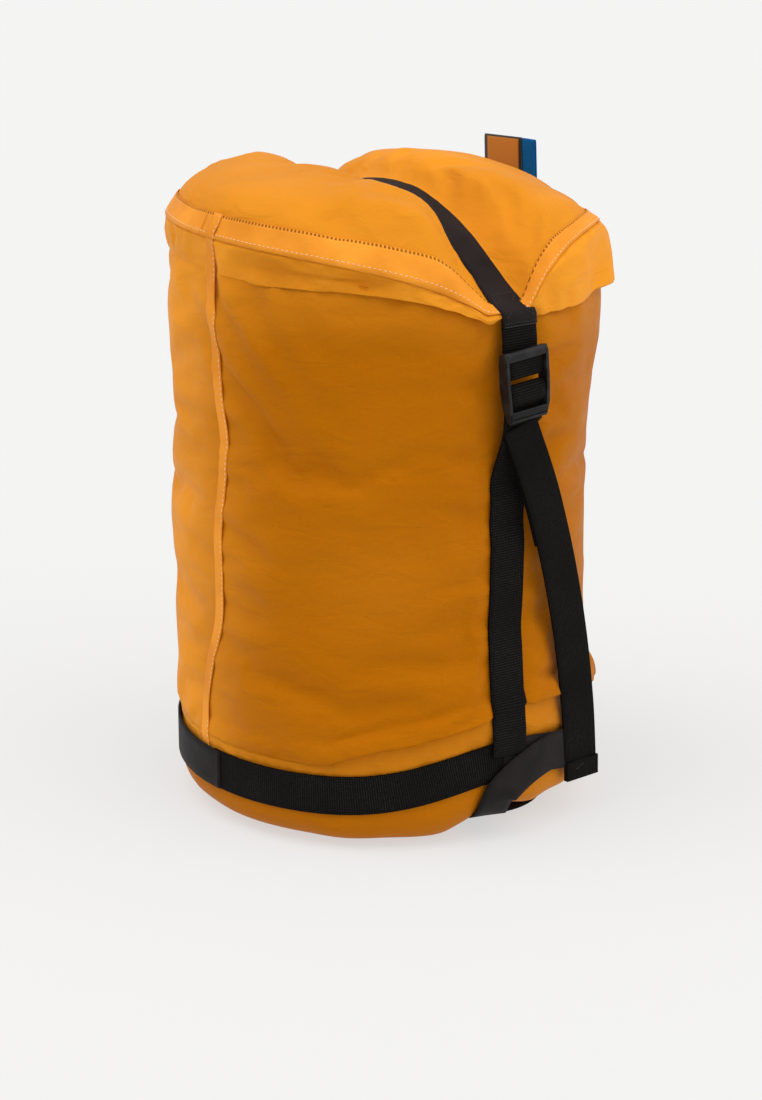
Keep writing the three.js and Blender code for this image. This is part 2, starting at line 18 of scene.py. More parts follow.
import bmesh
import bpy
import numpy as np
from mathutils import Matrix
from mathutils import Vector
from mathutils import noise
from mathutils.bvhtree import BVHTree
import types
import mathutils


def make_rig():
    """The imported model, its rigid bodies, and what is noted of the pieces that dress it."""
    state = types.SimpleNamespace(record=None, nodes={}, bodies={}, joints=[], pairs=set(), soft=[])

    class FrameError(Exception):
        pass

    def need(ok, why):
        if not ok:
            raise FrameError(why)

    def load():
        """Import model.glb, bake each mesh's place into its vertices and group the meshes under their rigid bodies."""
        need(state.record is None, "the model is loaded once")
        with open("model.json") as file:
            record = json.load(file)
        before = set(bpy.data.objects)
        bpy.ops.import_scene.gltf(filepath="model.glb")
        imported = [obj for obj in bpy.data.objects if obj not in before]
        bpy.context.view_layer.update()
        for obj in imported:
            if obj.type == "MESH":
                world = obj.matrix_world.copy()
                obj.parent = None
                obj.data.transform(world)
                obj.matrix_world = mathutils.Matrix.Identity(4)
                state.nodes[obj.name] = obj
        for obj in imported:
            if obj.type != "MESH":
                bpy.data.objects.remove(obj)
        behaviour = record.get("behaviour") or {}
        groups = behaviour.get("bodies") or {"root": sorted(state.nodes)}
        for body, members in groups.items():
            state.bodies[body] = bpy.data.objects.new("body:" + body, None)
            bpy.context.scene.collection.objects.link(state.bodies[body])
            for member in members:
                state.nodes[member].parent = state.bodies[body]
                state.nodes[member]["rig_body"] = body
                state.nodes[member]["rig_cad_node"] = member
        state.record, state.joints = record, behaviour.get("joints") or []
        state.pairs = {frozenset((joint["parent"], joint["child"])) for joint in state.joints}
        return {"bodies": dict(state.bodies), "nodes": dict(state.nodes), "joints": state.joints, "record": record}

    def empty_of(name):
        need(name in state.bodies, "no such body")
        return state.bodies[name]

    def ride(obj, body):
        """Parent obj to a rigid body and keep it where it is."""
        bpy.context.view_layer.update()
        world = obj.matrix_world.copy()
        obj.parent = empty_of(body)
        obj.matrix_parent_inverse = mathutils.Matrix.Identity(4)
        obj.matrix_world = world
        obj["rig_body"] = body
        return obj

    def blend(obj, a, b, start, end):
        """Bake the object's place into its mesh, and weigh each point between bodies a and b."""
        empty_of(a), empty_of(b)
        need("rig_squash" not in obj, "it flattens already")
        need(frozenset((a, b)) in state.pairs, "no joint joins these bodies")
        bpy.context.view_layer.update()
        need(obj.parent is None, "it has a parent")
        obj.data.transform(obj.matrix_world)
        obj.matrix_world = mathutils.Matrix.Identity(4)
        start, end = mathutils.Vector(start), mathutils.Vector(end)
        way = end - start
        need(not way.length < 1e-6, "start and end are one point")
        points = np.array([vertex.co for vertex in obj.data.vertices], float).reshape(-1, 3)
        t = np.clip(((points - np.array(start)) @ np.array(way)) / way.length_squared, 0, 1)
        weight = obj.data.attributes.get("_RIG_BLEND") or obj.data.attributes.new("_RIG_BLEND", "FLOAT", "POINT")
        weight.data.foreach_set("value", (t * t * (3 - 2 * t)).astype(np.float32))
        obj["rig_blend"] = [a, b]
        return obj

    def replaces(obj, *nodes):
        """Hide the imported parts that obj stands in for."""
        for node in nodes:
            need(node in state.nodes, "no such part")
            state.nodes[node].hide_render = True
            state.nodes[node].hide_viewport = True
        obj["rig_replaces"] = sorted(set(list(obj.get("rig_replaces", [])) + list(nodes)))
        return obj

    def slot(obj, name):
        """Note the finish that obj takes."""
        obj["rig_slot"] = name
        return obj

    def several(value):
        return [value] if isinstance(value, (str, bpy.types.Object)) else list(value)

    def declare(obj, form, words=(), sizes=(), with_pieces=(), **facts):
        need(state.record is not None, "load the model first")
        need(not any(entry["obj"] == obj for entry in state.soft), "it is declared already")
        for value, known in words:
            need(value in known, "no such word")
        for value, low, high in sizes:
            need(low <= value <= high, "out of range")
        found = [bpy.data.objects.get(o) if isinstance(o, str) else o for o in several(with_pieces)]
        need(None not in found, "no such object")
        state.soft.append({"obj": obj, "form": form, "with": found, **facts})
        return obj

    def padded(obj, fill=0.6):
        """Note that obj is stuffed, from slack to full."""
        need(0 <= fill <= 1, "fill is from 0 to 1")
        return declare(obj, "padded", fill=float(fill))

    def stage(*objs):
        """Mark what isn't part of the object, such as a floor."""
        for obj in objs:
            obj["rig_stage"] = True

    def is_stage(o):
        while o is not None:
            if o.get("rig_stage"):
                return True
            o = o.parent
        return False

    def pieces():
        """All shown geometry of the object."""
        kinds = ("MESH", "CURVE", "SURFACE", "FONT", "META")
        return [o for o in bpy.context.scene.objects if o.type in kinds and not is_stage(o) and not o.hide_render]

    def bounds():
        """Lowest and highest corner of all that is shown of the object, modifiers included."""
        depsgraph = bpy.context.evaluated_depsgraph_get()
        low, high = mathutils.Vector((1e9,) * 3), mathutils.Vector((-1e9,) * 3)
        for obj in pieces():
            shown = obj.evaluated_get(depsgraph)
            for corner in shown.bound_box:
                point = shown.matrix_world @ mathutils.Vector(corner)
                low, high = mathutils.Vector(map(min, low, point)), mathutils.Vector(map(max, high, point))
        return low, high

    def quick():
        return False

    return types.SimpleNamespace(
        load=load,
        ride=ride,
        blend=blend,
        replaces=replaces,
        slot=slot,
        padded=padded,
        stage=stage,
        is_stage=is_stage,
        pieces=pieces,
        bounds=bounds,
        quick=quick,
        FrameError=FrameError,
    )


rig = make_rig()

LOG = logging.getLogger("sack")
MM = 0.001
SIZE_FILE = "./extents.json"
WALL_COLUMNS = 192  # faces round the sack's wall and round the cap
PER_DEGREE = 2.35  # millimetres round the wall in one degree
DISC_EDGE = 1 - 1e-6  # from this share of its radius on, a place in a disc is on its edge
CREAM_THREAD = 0.62 * MM  # thickness of the thread in the orange seams

Colour = tuple[float, float, float]
Outward = Callable[[Vector], Vector]
Outline = Sequence[tuple[float, float]]


# ---- Small mathematics ---------------------------------------------------------------------------


def bump(value: float, centre: float, width: float) -> float:
    """A bell curve, 1 at the centre.

    Args:
        value: Where to read the curve.
        centre: Where it peaks.
        width: How far from the centre it falls to 1/e.

    Returns:
        A number from 0 to 1.
    """
    return math.exp(-(((value - centre) / width) ** 2))


def ease(value: float, start: float, end: float) -> float:
    """A smooth step.

    Args:
        value: Where to read the step.
        start: Where it leaves 0.
        end: Where it reaches 1.

    Returns:
        A number from 0 to 1.
    """
    share = min(1.0, max(0.0, (value - start) / (end - start)))
    return share * share * (3 - 2 * share)


def mix(first: float, second: float, share: float) -> float:
    """The value that lies the given share of the way from first to second."""
    return first + (second - first) * share


def turn_from(angle: float, centre: float) -> float:
    """The signed turn from centre to angle, from -180 to 180 degrees."""
    return (angle - centre + 180) % 360 - 180


def angle_of(point: Vector) -> float:
    """The angle of a point about the sack's axis, in degrees."""
    return math.degrees(math.atan2(point.y, point.x))


def column_angle(angle: float, columns: int) -> float:
    """The angle of the nearest of the columns that divide a ring evenly, in degrees."""
    return round(angle * columns / 360) * 360 / columns


def ring_point(angle: float, radius: float, height: float) -> Vector:
    """The point in metres at an angle in degrees, and a radius and height in millimetres."""
    turn = math.radians(angle)
    return Vector((radius * math.cos(turn), radius * math.sin(turn), height)) * MM


def smooth_line(points: Sequence[Vector], between: int = 12) -> list[Vector]:
    """Rounds a line through its points.

    Args:
        points: The points that the line goes through.
        between: How many pieces each span is cut into.

    Returns:
        The points of the rounded line.
    """
    ends = [2 * points[0] - points[1], *points, 2 * points[-1] - points[-2]]
    line = []
    for before, start, end, after in zip(ends, ends[1:], ends[2:], ends[3:]):
        for step in range(between):
            t = step / between
            line.append(
                0.5
                * (
                    2 * start
                    + (end - before) * t
                    + (2 * before - 5 * start + 4 * end - after) * t**2
                    + (3 * start - before - 3 * end + after) * t**3
                )
            )
    return [*line, points[-1].copy()]


def even_line(points: Sequence[Vector], step: float) -> list[Vector]:
    """Cuts a line into pieces of one length.

    Args:
        points: The points of the line.
        step: The wished length of a piece, in metres.

    Returns:
        The points of the same line, evenly spaced.
    """
    spans = [(b - a).length for a, b in zip(points, points[1:])]
    whole = sum(spans)
    count = max(2, round(whole / step))
    line, span, passed = [points[0].copy()], 0, 0.0
    for index in range(1, count):
        target = whole * index / count
        while span < len(spans) - 1 and passed + spans[span] < target:
            passed += spans[span]
            span += 1
        share = (target - passed) / max(spans[span], 1e-9)
        line.append(points[span].lerp(points[span + 1], share))
    return [*line, points[-1].copy()]


# ---- Meshes --------------------------------------------------------------------------------------


def object_from(bm: bmesh.types.BMesh, name: str) -> bpy.types.Object:
    """Makes a smoothly shaded object of a bmesh, at the origin, and frees the bmesh.

    Args:
        bm: The finished bmesh, in the part's frame.
        name: The piece's name.

    Returns:
        The new object.
    """
    mesh = bpy.data.meshes.new(name)
    bm.to_mesh(mesh)
    bm.free()
    mesh.shade_smooth()
    obj = bpy.data.objects.new(name, mesh)
    bpy.context.scene.collection.objects.link(obj)
    return obj


def mapped_grid(
    bm: bmesh.types.BMesh,
    columns: int,
    rows: int,
    place: Callable[[float, float], Vector],
    chart: Callable[[float, float], tuple[float, float]],
) -> list[bmesh.types.BMVert]:
    """Adds a flat grid and bends it into place.

    Args:
        bm: The bmesh that gets the grid.
        columns: Faces across.
        rows: Faces along.
        place: The point for a share across and a share along.
        chart: The UV for the same two shares.

    Returns:
        The grid's vertices.
    """
    layer = bm.loops.layers.uv.verify()
    made = bmesh.ops.create_grid(bm, x_segments=columns, y_segments=rows, size=1.0)["verts"]
    half = max(vert.co.x for vert in made)
    shares = {vert: ((vert.co.x / half + 1) / 2, (vert.co.y / half + 1) / 2) for vert in made}
    for face in {face for vert in made for face in vert.link_faces}:
        for loop in face.loops:
            loop[layer].uv = chart(*shares[loop.vert])
    for vert in made:
        vert.co = place(*shares[vert])
    return made


def disc_place(across: float, along: float) -> tuple[float, float]:
    """Turns a place in a square grid into one in a disc whose edge is evenly divided.

    Args:
        across: Share across the square.
        along: Share along the square.

    Returns:
        The share of the radius, and the angle in degrees.
    """
    a, b = 2 * across - 1, 2 * along - 1
    if abs(a) < 1e-9 and abs(b) < 1e-9:
        return 0.0, 0.0
    if abs(a) >= abs(b):
        angle = 45 * b / a + (180 if a < 0 else 0)
        return abs(a), angle
    angle = 90 - 45 * a / b + (180 if b < 0 else 0)
    return abs(b), angle


def thicken(obj: bpy.types.Object, thickness: float, offset: float = 0.0) -> None:
    """Gives a sheet its thickness.

    Args:
        obj: The sheet.
        thickness: The wall in metres.
        offset: 1 grows it outwards, -1 inwards, 0 both ways.
    """
    modifier = obj.modifiers.new("Thickness", "SOLIDIFY")
    modifier.thickness = thickness
    modifier.offset = offset


def subdivide(obj: bpy.types.Object, levels: int = 1) -> None:
    """Smooths a mesh with the same levels shown and rendered."""
    modifier = obj.modifiers.new("Smooth", "SUBSURF")
    modifier.levels = levels
    modifier.render_levels = levels


def round_edges(obj: bpy.types.Object, width: float, segments: int = 2) -> None:
    """Rounds the sharp edges of a mesh.

    Args:
        obj: The mesh.
        width: The width of the rounding, in metres.
        segments: How many faces it is made of.
    """
    modifier = obj.modifiers.new("Rounding", "BEVEL")
    modifier.width = width
    modifier.segments = segments
    modifier.limit_method = "ANGLE"
    modifier.angle_limit = math.radians(40)


@dataclass
class Strip:
    """A flat woven strip that follows a path, with its UV in metres: across, then along."""

    name: str
    width: float
    thickness: float
    path: Sequence[Vector]
    outward: Outward
    columns: int = 4
    step: float = 3 * MM
    ripple: float = 0.0
    folded: bool = False
    lay: Callable[[Vector], Vector] | None = None
    line: list[Vector] = field(default_factory=list)

    def facings(self) -> list[tuple[Vector, Vector]]:
        """The directions across and out at each point of the line; a folded strip carries its first on."""
        found = []
        out = self.outward(self.line[0])
        for index, point in enumerate(self.line):
            before = self.line[max(0, index - 1)]
            after = self.line[min(len(self.line) - 1, index + 1)]
            along = (after - before).normalized()
            across = along.cross(out if self.folded else self.outward(point)).normalized()
            out = across.cross(along)
            found.append((across, out))
        return found

    def build(self) -> bpy.types.Object:
        """Makes the strip.

        Returns:
            The strip, without a material.
        """
        self.line = even_line(self.path, self.step)
        facings = self.facings()
        rows = len(self.line) - 1
        length = sum((b - a).length for a, b in zip(self.line, self.line[1:]))

        def place(across: float, along: float) -> Vector:
            """The point at a share across and along the strip."""
            index = round(along * rows)
            side = across - 0.5
            edge = self.ripple * (1 if index % 2 else -1) if abs(side) > 0.49 else 0.0
            point = self.line[index] + facings[index][0] * (side * self.width + math.copysign(edge, side))
            return self.lay(point) if self.lay else point

        def chart(across: float, along: float) -> tuple[float, float]:
            """The same place on the flat strip, in metres."""
            return across * self.width, along * length

        bm = bmesh.new()
        mapped_grid(bm, self.columns, rows, place, chart)
        obj = object_from(bm, self.name)
        thicken(obj, self.thickness)
        return obj


def stitches(
    name: str, path: Sequence[Vector], outward: Outward, pitch: float, length: float, thickness: float
) -> bpy.types.Object:
    """Lays a row of stitches along a path.

    Args:
        name: The piece's name.
        path: The line of the seam, in metres.
        outward: The direction out of the cloth at a point.
        pitch: From one stitch to the next.
        length: Length of the thread that shows in one stitch.
        thickness: Thickness of the thread.

    Returns:
        One mesh of all the stitches.
    """
    bm = bmesh.new()
    line = even_line(path, pitch)
    for start, end in zip(line, line[1:]):
        along = (end - start).normalized()
        out = outward(start)
        across = along.cross(out).normalized()
        turn = Matrix((across, along, across.cross(along))).transposed().to_4x4()
        size = Matrix.Diagonal((thickness, length, thickness, 1))
        place = Matrix.Translation((start + end) / 2)
        bmesh.ops.create_icosphere(bm, subdivisions=1, radius=0.5, matrix=place @ turn @ size)
    return object_from(bm, name)


# ---- Finishes ------------------------------------------------------------------------------------


class Graph:
    """A material's node tree, with short ways to add and join nodes."""

    def __init__(self, name: str, colour: Colour, roughness: float) -> None:
        """Starts a material with its shader.

        Args:
            name: The material's name.
            colour: Its plain colour, for solid views and as a start.
            roughness: Its plain roughness.
        """
        self.material = bpy.data.materials.new(name)
        self.material.use_nodes = True
        self.material.diffuse_color = (*colour, 1)
        self.tree = self.material.node_tree
        self.shader = next(n for n in self.tree.nodes if n.type == "BSDF_PRINCIPLED")
        self.shader.inputs["Base Color"].default_value = (*colour, 1)
        self.shader.inputs["Roughness"].default_value = roughness

    def set(self, **values: float | tuple) -> None:
        """Sets the shader's own sockets, with _ for a space in their names."""
        for name, value in values.items():
            self.shader.inputs[name.replace("_", " ")].default_value = value

    def join(self, source: bpy.types.NodeSocket | float, target: bpy.types.NodeSocket) -> None:
        """Links a socket, or sets the target to a plain number."""
        if isinstance(source, (int, float)):
            target.default_value = source
        else:
            self.tree.links.new(source, target)

    def calc(
        self, operation: str, first: bpy.types.NodeSocket | float, second: bpy.types.NodeSocket | float = 0.0
    ) -> bpy.types.NodeSocket:
        """Adds one sum.

        Args:
            operation: The math node's operation.
            first: Its first value.
            second: Its second value.

        Returns:
            The result's socket.
        """
        node = self.tree.nodes.new("ShaderNodeMath")
        node.operation = operation
        self.join(first, node.inputs[0])
        self.join(second, node.inputs[1])
        return node.outputs[0]

    def uv(self) -> tuple[bpy.types.NodeSocket, bpy.types.NodeSocket]:
        """The place on the flat cloth: across and along, in metres."""
        node = self.tree.nodes.new("ShaderNodeUVMap")
        apart = self.tree.nodes.new("ShaderNodeSeparateXYZ")
        self.tree.links.new(node.outputs["UV"], apart.inputs[0])
        return apart.outputs[0], apart.outputs[1]

    def place(self, scale: tuple[float, float, float]) -> bpy.types.NodeSocket:
        """The place in the part's frame, stretched.

        Args:
            scale: The stretch along each axis.

        Returns:
            The socket of the stretched place.
        """
        node = self.tree.nodes.new("ShaderNodeTexCoord")
        mapping = self.tree.nodes.new("ShaderNodeMapping")
        mapping.inputs["Scale"].default_value = scale
        self.tree.links.new(node.outputs["Object"], mapping.inputs["Vector"])
        return mapping.outputs["Vector"]

    def cloud(
        self, place: bpy.types.NodeSocket, scale: float, detail: float = 2.0, distortion: float = 0.0
    ) -> bpy.types.NodeSocket:
        """Adds a noise.

        Args:
            place: The place to read it at.
            scale: Its scale.
            detail: How many finer noises are added to it.
            distortion: How much it is warped.

        Returns:
            The socket of its value.
        """
        node = self.tree.nodes.new("ShaderNodeTexNoise")
        node.inputs["Scale"].default_value = scale
        node.inputs["Detail"].default_value = detail
        node.inputs["Distortion"].default_value = distortion
        self.tree.links.new(place, node.inputs["Vector"])
        return node.outputs[0]

    def wave(self, value: bpy.types.NodeSocket, pitch: float, shift: float = 0.0) -> bpy.types.NodeSocket:
        """A wave from -1 to 1 that repeats at a pitch in metres."""
        return self.calc("SINE", self.calc("ADD", self.calc("MULTIPLY", value, 2 * math.pi / pitch), shift))

    def blend(
        self,
        share: bpy.types.NodeSocket | float,
        first: Colour | bpy.types.NodeSocket,
        second: Colour | bpy.types.NodeSocket,
    ) -> bpy.types.NodeSocket:
        """Mixes two colours.

        Args:
            share: How much of the second shows.
            first: The first colour or its socket.
            second: The second colour or its socket.

        Returns:
            The socket of the mixed colour.
        """
        node = self.tree.nodes.new("ShaderNodeMix")
        node.data_type = "RGBA"
        self.join(share, node.inputs[0])
        for value, socket in ((first, node.inputs[6]), (second, node.inputs[7])):
            if isinstance(value, tuple):
                socket.default_value = (*value, 1)
            else:
                self.tree.links.new(value, socket)
        return node.outputs[2]

    def between(
        self, value: bpy.types.NodeSocket, low: float, high: float, start: float, end: float
    ) -> bpy.types.NodeSocket:
        """Turns a range into another, clamped.

        Args:
            value: The value to turn.
            low: Where the result is start.
            high: Where the result is end.
            start: The result at low.
            end: The result at high.

        Returns:
            The result's socket.
        """
        node = self.tree.nodes.new("ShaderNodeMapRange")
        self.tree.links.new(value, node.inputs["Value"])
        node.inputs["From Min"].default_value = low
        node.inputs["From Max"].default_value = high
        node.inputs["To Min"].default_value = start
        node.inputs["To Max"].default_value = end
        return node.outputs[0]

    def attribute(self, name: str) -> bpy.types.NodeSocket:
        """The value of a mesh attribute."""
        node = self.tree.nodes.new("ShaderNodeAttribute")
        node.attribute_name = name
        return node.outputs["Fac"]

    def relief(self, heights: Sequence[tuple[bpy.types.NodeSocket, float]], strength: float = 1.0) -> None:
        """Turns heights into a bumpy surface.

        Args:
            heights: Each height's socket and its depth in metres.
            strength: How strongly all of them show.
        """
        normal = None
        for height, depth in heights:
            node = self.tree.nodes.new("ShaderNodeBump")
            node.inputs["Strength"].default_value = strength
            node.inputs["Distance"].default_value = depth
            self.tree.links.new(height, node.inputs["Height"])
            if normal:
                self.tree.links.new(normal, node.inputs["Normal"])
            normal = node.outputs["Normal"]
        self.tree.links.new(normal, self.shader.inputs["Normal"])


@dataclass(frozen=True)
class NylonFinish:
    """Thin coated nylon: a fine even weave and soft crumples, with a colour brightened by a painted glow where it
    hangs loose, on its lit side and over the top.
    """

    name: str = "orange_nylon"
    filled: Colour = (0.455, 0.134, 0.0010)
    # loose is the colour of the painted glow; shade is the colour of painted shade
    loose: Colour = (0.91, 0.340, 0.024)
    shade: Colour = (0.38, 0.105, 0.0015)
    yarn: float = 0.9 * MM

    def make(self) -> bpy.types.Material:
        """Makes the material."""
        graph = Graph(self.name, self.filled, 0.46)
        across, along = graph.uv()
        weave = graph.calc("ADD", graph.wave(across, self.yarn), graph.wave(along, self.yarn))
        body = graph.place((1, 1, 2.4))
        soft = graph.cloud(body, 9, 2, 0.6)
        crumple = graph.cloud(body, 34, 3, 1.2)
        grain = graph.cloud(graph.place((1, 1, 1)), 420, 2)
        # painted glow: the colour brightens from filled to loose by the loose attribute, standing in for light through
        # and on the cloth
        tone = graph.blend(graph.attribute("loose"), self.filled, self.loose)
        # painted shade: the low parts of the soft crumples are darkened towards the shade colour
        tone = graph.blend(graph.between(soft, 0.35, 0.7, 0.22, 0.0), tone, self.shade)
        # painted highlight: the weave's raised yarns are faintly lightened towards the glow colour
        lit = graph.between(weave, -2, 2, 0, 1)
        speckled = graph.between(grain, 0.3, 0.7, 0.4, 1)
        threads = graph.calc("MULTIPLY", lit, speckled)
        tone = graph.blend(graph.calc("MULTIPLY", threads, 0.10), tone, self.loose)
        graph.join(tone, graph.shader.inputs["Base Color"])
        graph.join(graph.between(crumple, 0.3, 0.7, 0.42, 0.55), graph.shader.inputs["Roughness"])
        graph.set(Specular_IOR_Level=0.05, Specular_Tint=(1.0, 0.55, 0.2, 1))
        graph.relief([(soft, 0.006), (crumple, 0.0022), (weave, 0.00004)], 0.7)
        return graph.material


@dataclass(frozen=True)
class TapeFinish:
    """The same nylon doubled over a seam, crinkled, with needle holes along one edge; its colour is brighter, a
    painted glow as on the loose nylon.
    """

    name: str = "orange_tape"
    # colour: the nylon with a painted glow, brighter than the filled cloth
    colour: Colour = (0.90, 0.33, 0.032)
    deep: Colour = (0.62, 0.19, 0.012)
    hole: Colour = (0.16, 0.04, 0.004)
    width: float = 9 * MM
    holes_at: float = 0.94
    pitch: float = 2.6 * MM

    def make(self) -> bpy.types.Material:
        """Makes the material."""
        graph = Graph(self.name, self.colour, 0.5)
        across, along = graph.uv()
        weave = graph.calc("ADD", graph.wave(across, 0.8 * MM), graph.wave(along, 0.8 * MM))
        crinkle = graph.cloud(graph.place((1, 1, 1)), 95, 3, 0.8)
        patch = graph.cloud(graph.place((1, 1, 1)), 28, 2)
        tone = graph.blend(graph.between(patch, 0.35, 0.65, 0.0, 0.55), self.colour, self.deep)
        edge = graph.calc("ABSOLUTE", graph.calc("SUBTRACT", across, self.width * self.holes_at))
        near = graph.calc("LESS_THAN", edge, 0.45 * MM)
        gap = graph.calc("GREATER_THAN", graph.wave(along, self.pitch), -0.15)
        hole = graph.calc("MULTIPLY", near, gap)
        tone = graph.blend(graph.calc("MULTIPLY", hole, 0.8), tone, self.hole)
        graph.join(tone, graph.shader.inputs["Base Color"])
        graph.set(Specular_IOR_Level=0.1, Specular_Tint=(1.0, 0.6, 0.3, 1))
        graph.relief([(crinkle, 0.0012), (weave, 0.00003)], 0.6)
        return graph.material


@dataclass(frozen=True)
class WebbingFinish:
    """Woven webbing with ribs across it, and flecks of painted highlight on the raised yarns."""

    name: str = "black_webbing"
    colour: Colour = (0.0042, 0.0036, 0.0033)
    # fleck: the colour of the painted highlight on the raised yarns
    fleck: Colour = (0.055, 0.050, 0.047)
    rib: float = 1.65 * MM
    yarn: float = 1.25 * MM
    slant: float = 0.0

    def make(self) -> bpy.types.Material:
        """Makes the material."""
        graph = Graph(self.name, self.colour, 0.72)
        across, along = graph.uv()
        leaning = graph.calc("ADD", along, graph.calc("MULTIPLY", across, self.slant))
        rib = graph.calc("ABSOLUTE", graph.wave(leaning, 2 * self.rib))
        yarn = graph.calc("ABSOLUTE", graph.wave(across, 2 * self.yarn))
        cell = graph.calc("MULTIPLY", rib, yarn)
        fuzz = graph.cloud(graph.place((1, 1, 1)), 900, 2)
        patchy = graph.cloud(graph.place((1, 1, 1)), 30, 2)
        # painted highlight: the raised yarns are lightened towards the fleck colour, less in some patches
        raised = graph.between(cell, 0.55, 1.0, 0, 1)
        fuzzy = graph.between(fuzz, 0.35, 0.65, 0.2, 1)
        light = graph.calc("MULTIPLY", raised, fuzzy)
        light = graph.calc("MULTIPLY", light, graph.between(patchy, 0.3, 0.7, 0.45, 1.0))
        graph.join(graph.blend(light, self.colour, self.fleck), graph.shader.inputs["Base Color"])
        graph.set(Specular_IOR_Level=0.06)
        graph.relief([(rib, 0.0004), (yarn, 0.00012), (fuzz, 0.00006)], 0.9)
        return graph.material


@dataclass(frozen=True)
class TwillFinish:
    """Smooth black twill band: fine slanted lines and a soft painted sheen."""

    name: str = "black_twill"
    colour: Colour = (0.0065, 0.0052, 0.0052)
    bloom: Colour = (0.020, 0.0145, 0.015)
    pitch: float = 0.8 * MM

    def make(self) -> bpy.types.Material:
        """Makes the material."""
        graph = Graph(self.name, self.colour, 0.62)
        across, along = graph.uv()
        line = graph.wave(graph.calc("ADD", across, graph.calc("MULTIPLY", along, 0.8)), self.pitch)
        patchy = graph.cloud(graph.place((1, 1, 1)), 45, 3, 0.4)
        fuzz = graph.cloud(graph.place((1, 1, 1)), 800, 2)
        # painted sheen: lighter in patches where the relief rises, and along the slanted lines, which are the twill's
        # own pattern
        tone = graph.blend(graph.between(patchy, 0.35, 0.7, 0.1, 0.8), self.colour, self.bloom)
        tone = graph.blend(graph.between(line, 0, 1, 0, 0.25), tone, self.bloom)
        graph.join(tone, graph.shader.inputs["Base Color"])
        graph.set(Sheen_Weight=0.02, Sheen_Roughness=0.45, Specular_IOR_Level=0.1)
        graph.relief([(patchy, 0.0009), (line, 0.00006), (fuzz, 0.00004)], 0.7)
        return graph.material


@dataclass(frozen=True)
class PlasticFinish:
    """Black moulded nylon with a matte spark texture."""

    name: str = "black_plastic"
    colour: Colour = (0.0065, 0.0058, 0.0058)
    rubbed: Colour = (0.035, 0.033, 0.033)

    def make(self) -> bpy.types.Material:
        """Makes the material."""
        graph = Graph(self.name, self.colour, 0.44)
        spark = graph.cloud(graph.place((1, 1, 1)), 1500, 2)
        patch = graph.cloud(graph.place((1, 1, 1)), 120, 3)
        tone = graph.blend(graph.between(patch, 0.5, 0.75, 0, 0.6), self.colour, self.rubbed)
        graph.join(tone, graph.shader.inputs["Base Color"])
        graph.join(graph.between(patch, 0.3, 0.7, 0.38, 0.52), graph.shader.inputs["Roughness"])
        graph.set(Specular_IOR_Level=0.22)
        graph.relief([(spark, 0.00005)], 0.5)
        return graph.material


@dataclass(frozen=True)
class LabelFinish:
    """A woven label: a plain gold field in a black border on its first side, and black on the other."""

    name: str = "gold_weave"
    field_colour: Colour = (0.66, 0.26, 0.010)
    field_dark: Colour = (0.34, 0.115, 0.006)
    border_colour: Colour = (0.010, 0.008, 0.007)
    width: float = 29 * MM
    height: float = 27.5 * MM
    border: float = 2.3 * MM

    def make(self) -> bpy.types.Material:
        """Makes the material."""
        graph = Graph(self.name, self.field_colour, 0.6)
        across, along = graph.uv()
        aside = graph.calc("ABSOLUTE", graph.calc("SUBTRACT", across, self.width / 2))
        above = graph.calc("ABSOLUTE", graph.calc("SUBTRACT", along, self.height / 2))
        out = graph.calc(
            "MAXIMUM",
            graph.calc("GREATER_THAN", aside, self.width / 2 - self.border),
            graph.calc("GREATER_THAN", above, self.height / 2 - self.border),
        )
        weft = graph.wave(along, 0.55 * MM)
        warp = graph.wave(across, 0.7 * MM)
        cell = graph.calc("MULTIPLY", weft, warp)
        ground = graph.blend(graph.between(cell, -1, 1, 0, 0.8), self.field_colour, self.field_dark)
        graph.join(graph.blend(out, ground, self.border_colour), graph.shader.inputs["Base Color"])
        graph.set(Sheen_Weight=0.2, Sheen_Roughness=0.4)
        graph.relief([(cell, 0.00008)], 0.8)
        return graph.material


@dataclass(frozen=True)
class ThreadFinish:
    """Sewing thread: a plain colour with the twist of its plies."""

    name: str
    colour: Colour

    def make(self) -> bpy.types.Material:
        """Makes the material."""
        graph = Graph(self.name, self.colour, 0.55)
        twist = graph.cloud(graph.place((1, 1, 1)), 1800, 1)
        dark = tuple(value * 0.6 for value in self.colour)
        tone = graph.blend(graph.between(twist, 0.35, 0.7, 0, 0.7), self.colour, dark)
        graph.join(tone, graph.shader.inputs["Base Color"])
        graph.set(Sheen_Weight=0.3, Sheen_Roughness=0.4)
        graph.relief([(twist, 0.00008)], 0.6)
        return graph.material


@dataclass(frozen=True)
class FloorFinish:
    """The pale matte floor of a studio."""

    colour: Colour = (0.26, 0.26, 0.26)
    fleck: Colour = (0.2, 0.2, 0.2)
    glow: Colour = (0.575, 0.575, 0.57)

    def make(self) -> bpy.types.Material:
        """Makes the material."""
        graph = Graph("pale_floor", self.colour, 0.9)
        speck = graph.cloud(graph.place((1, 1, 1)), 60, 2)
        tone = graph.blend(graph.between(speck, 0.3, 0.7, 0, 0.02), self.colour, self.fleck)
        graph.join(tone, graph.shader.inputs["Base Color"])
        graph.set(Specular_IOR_Level=0.0, Emission_Color=(*self.glow, 1), Emission_Strength=1.0)
        return graph.material


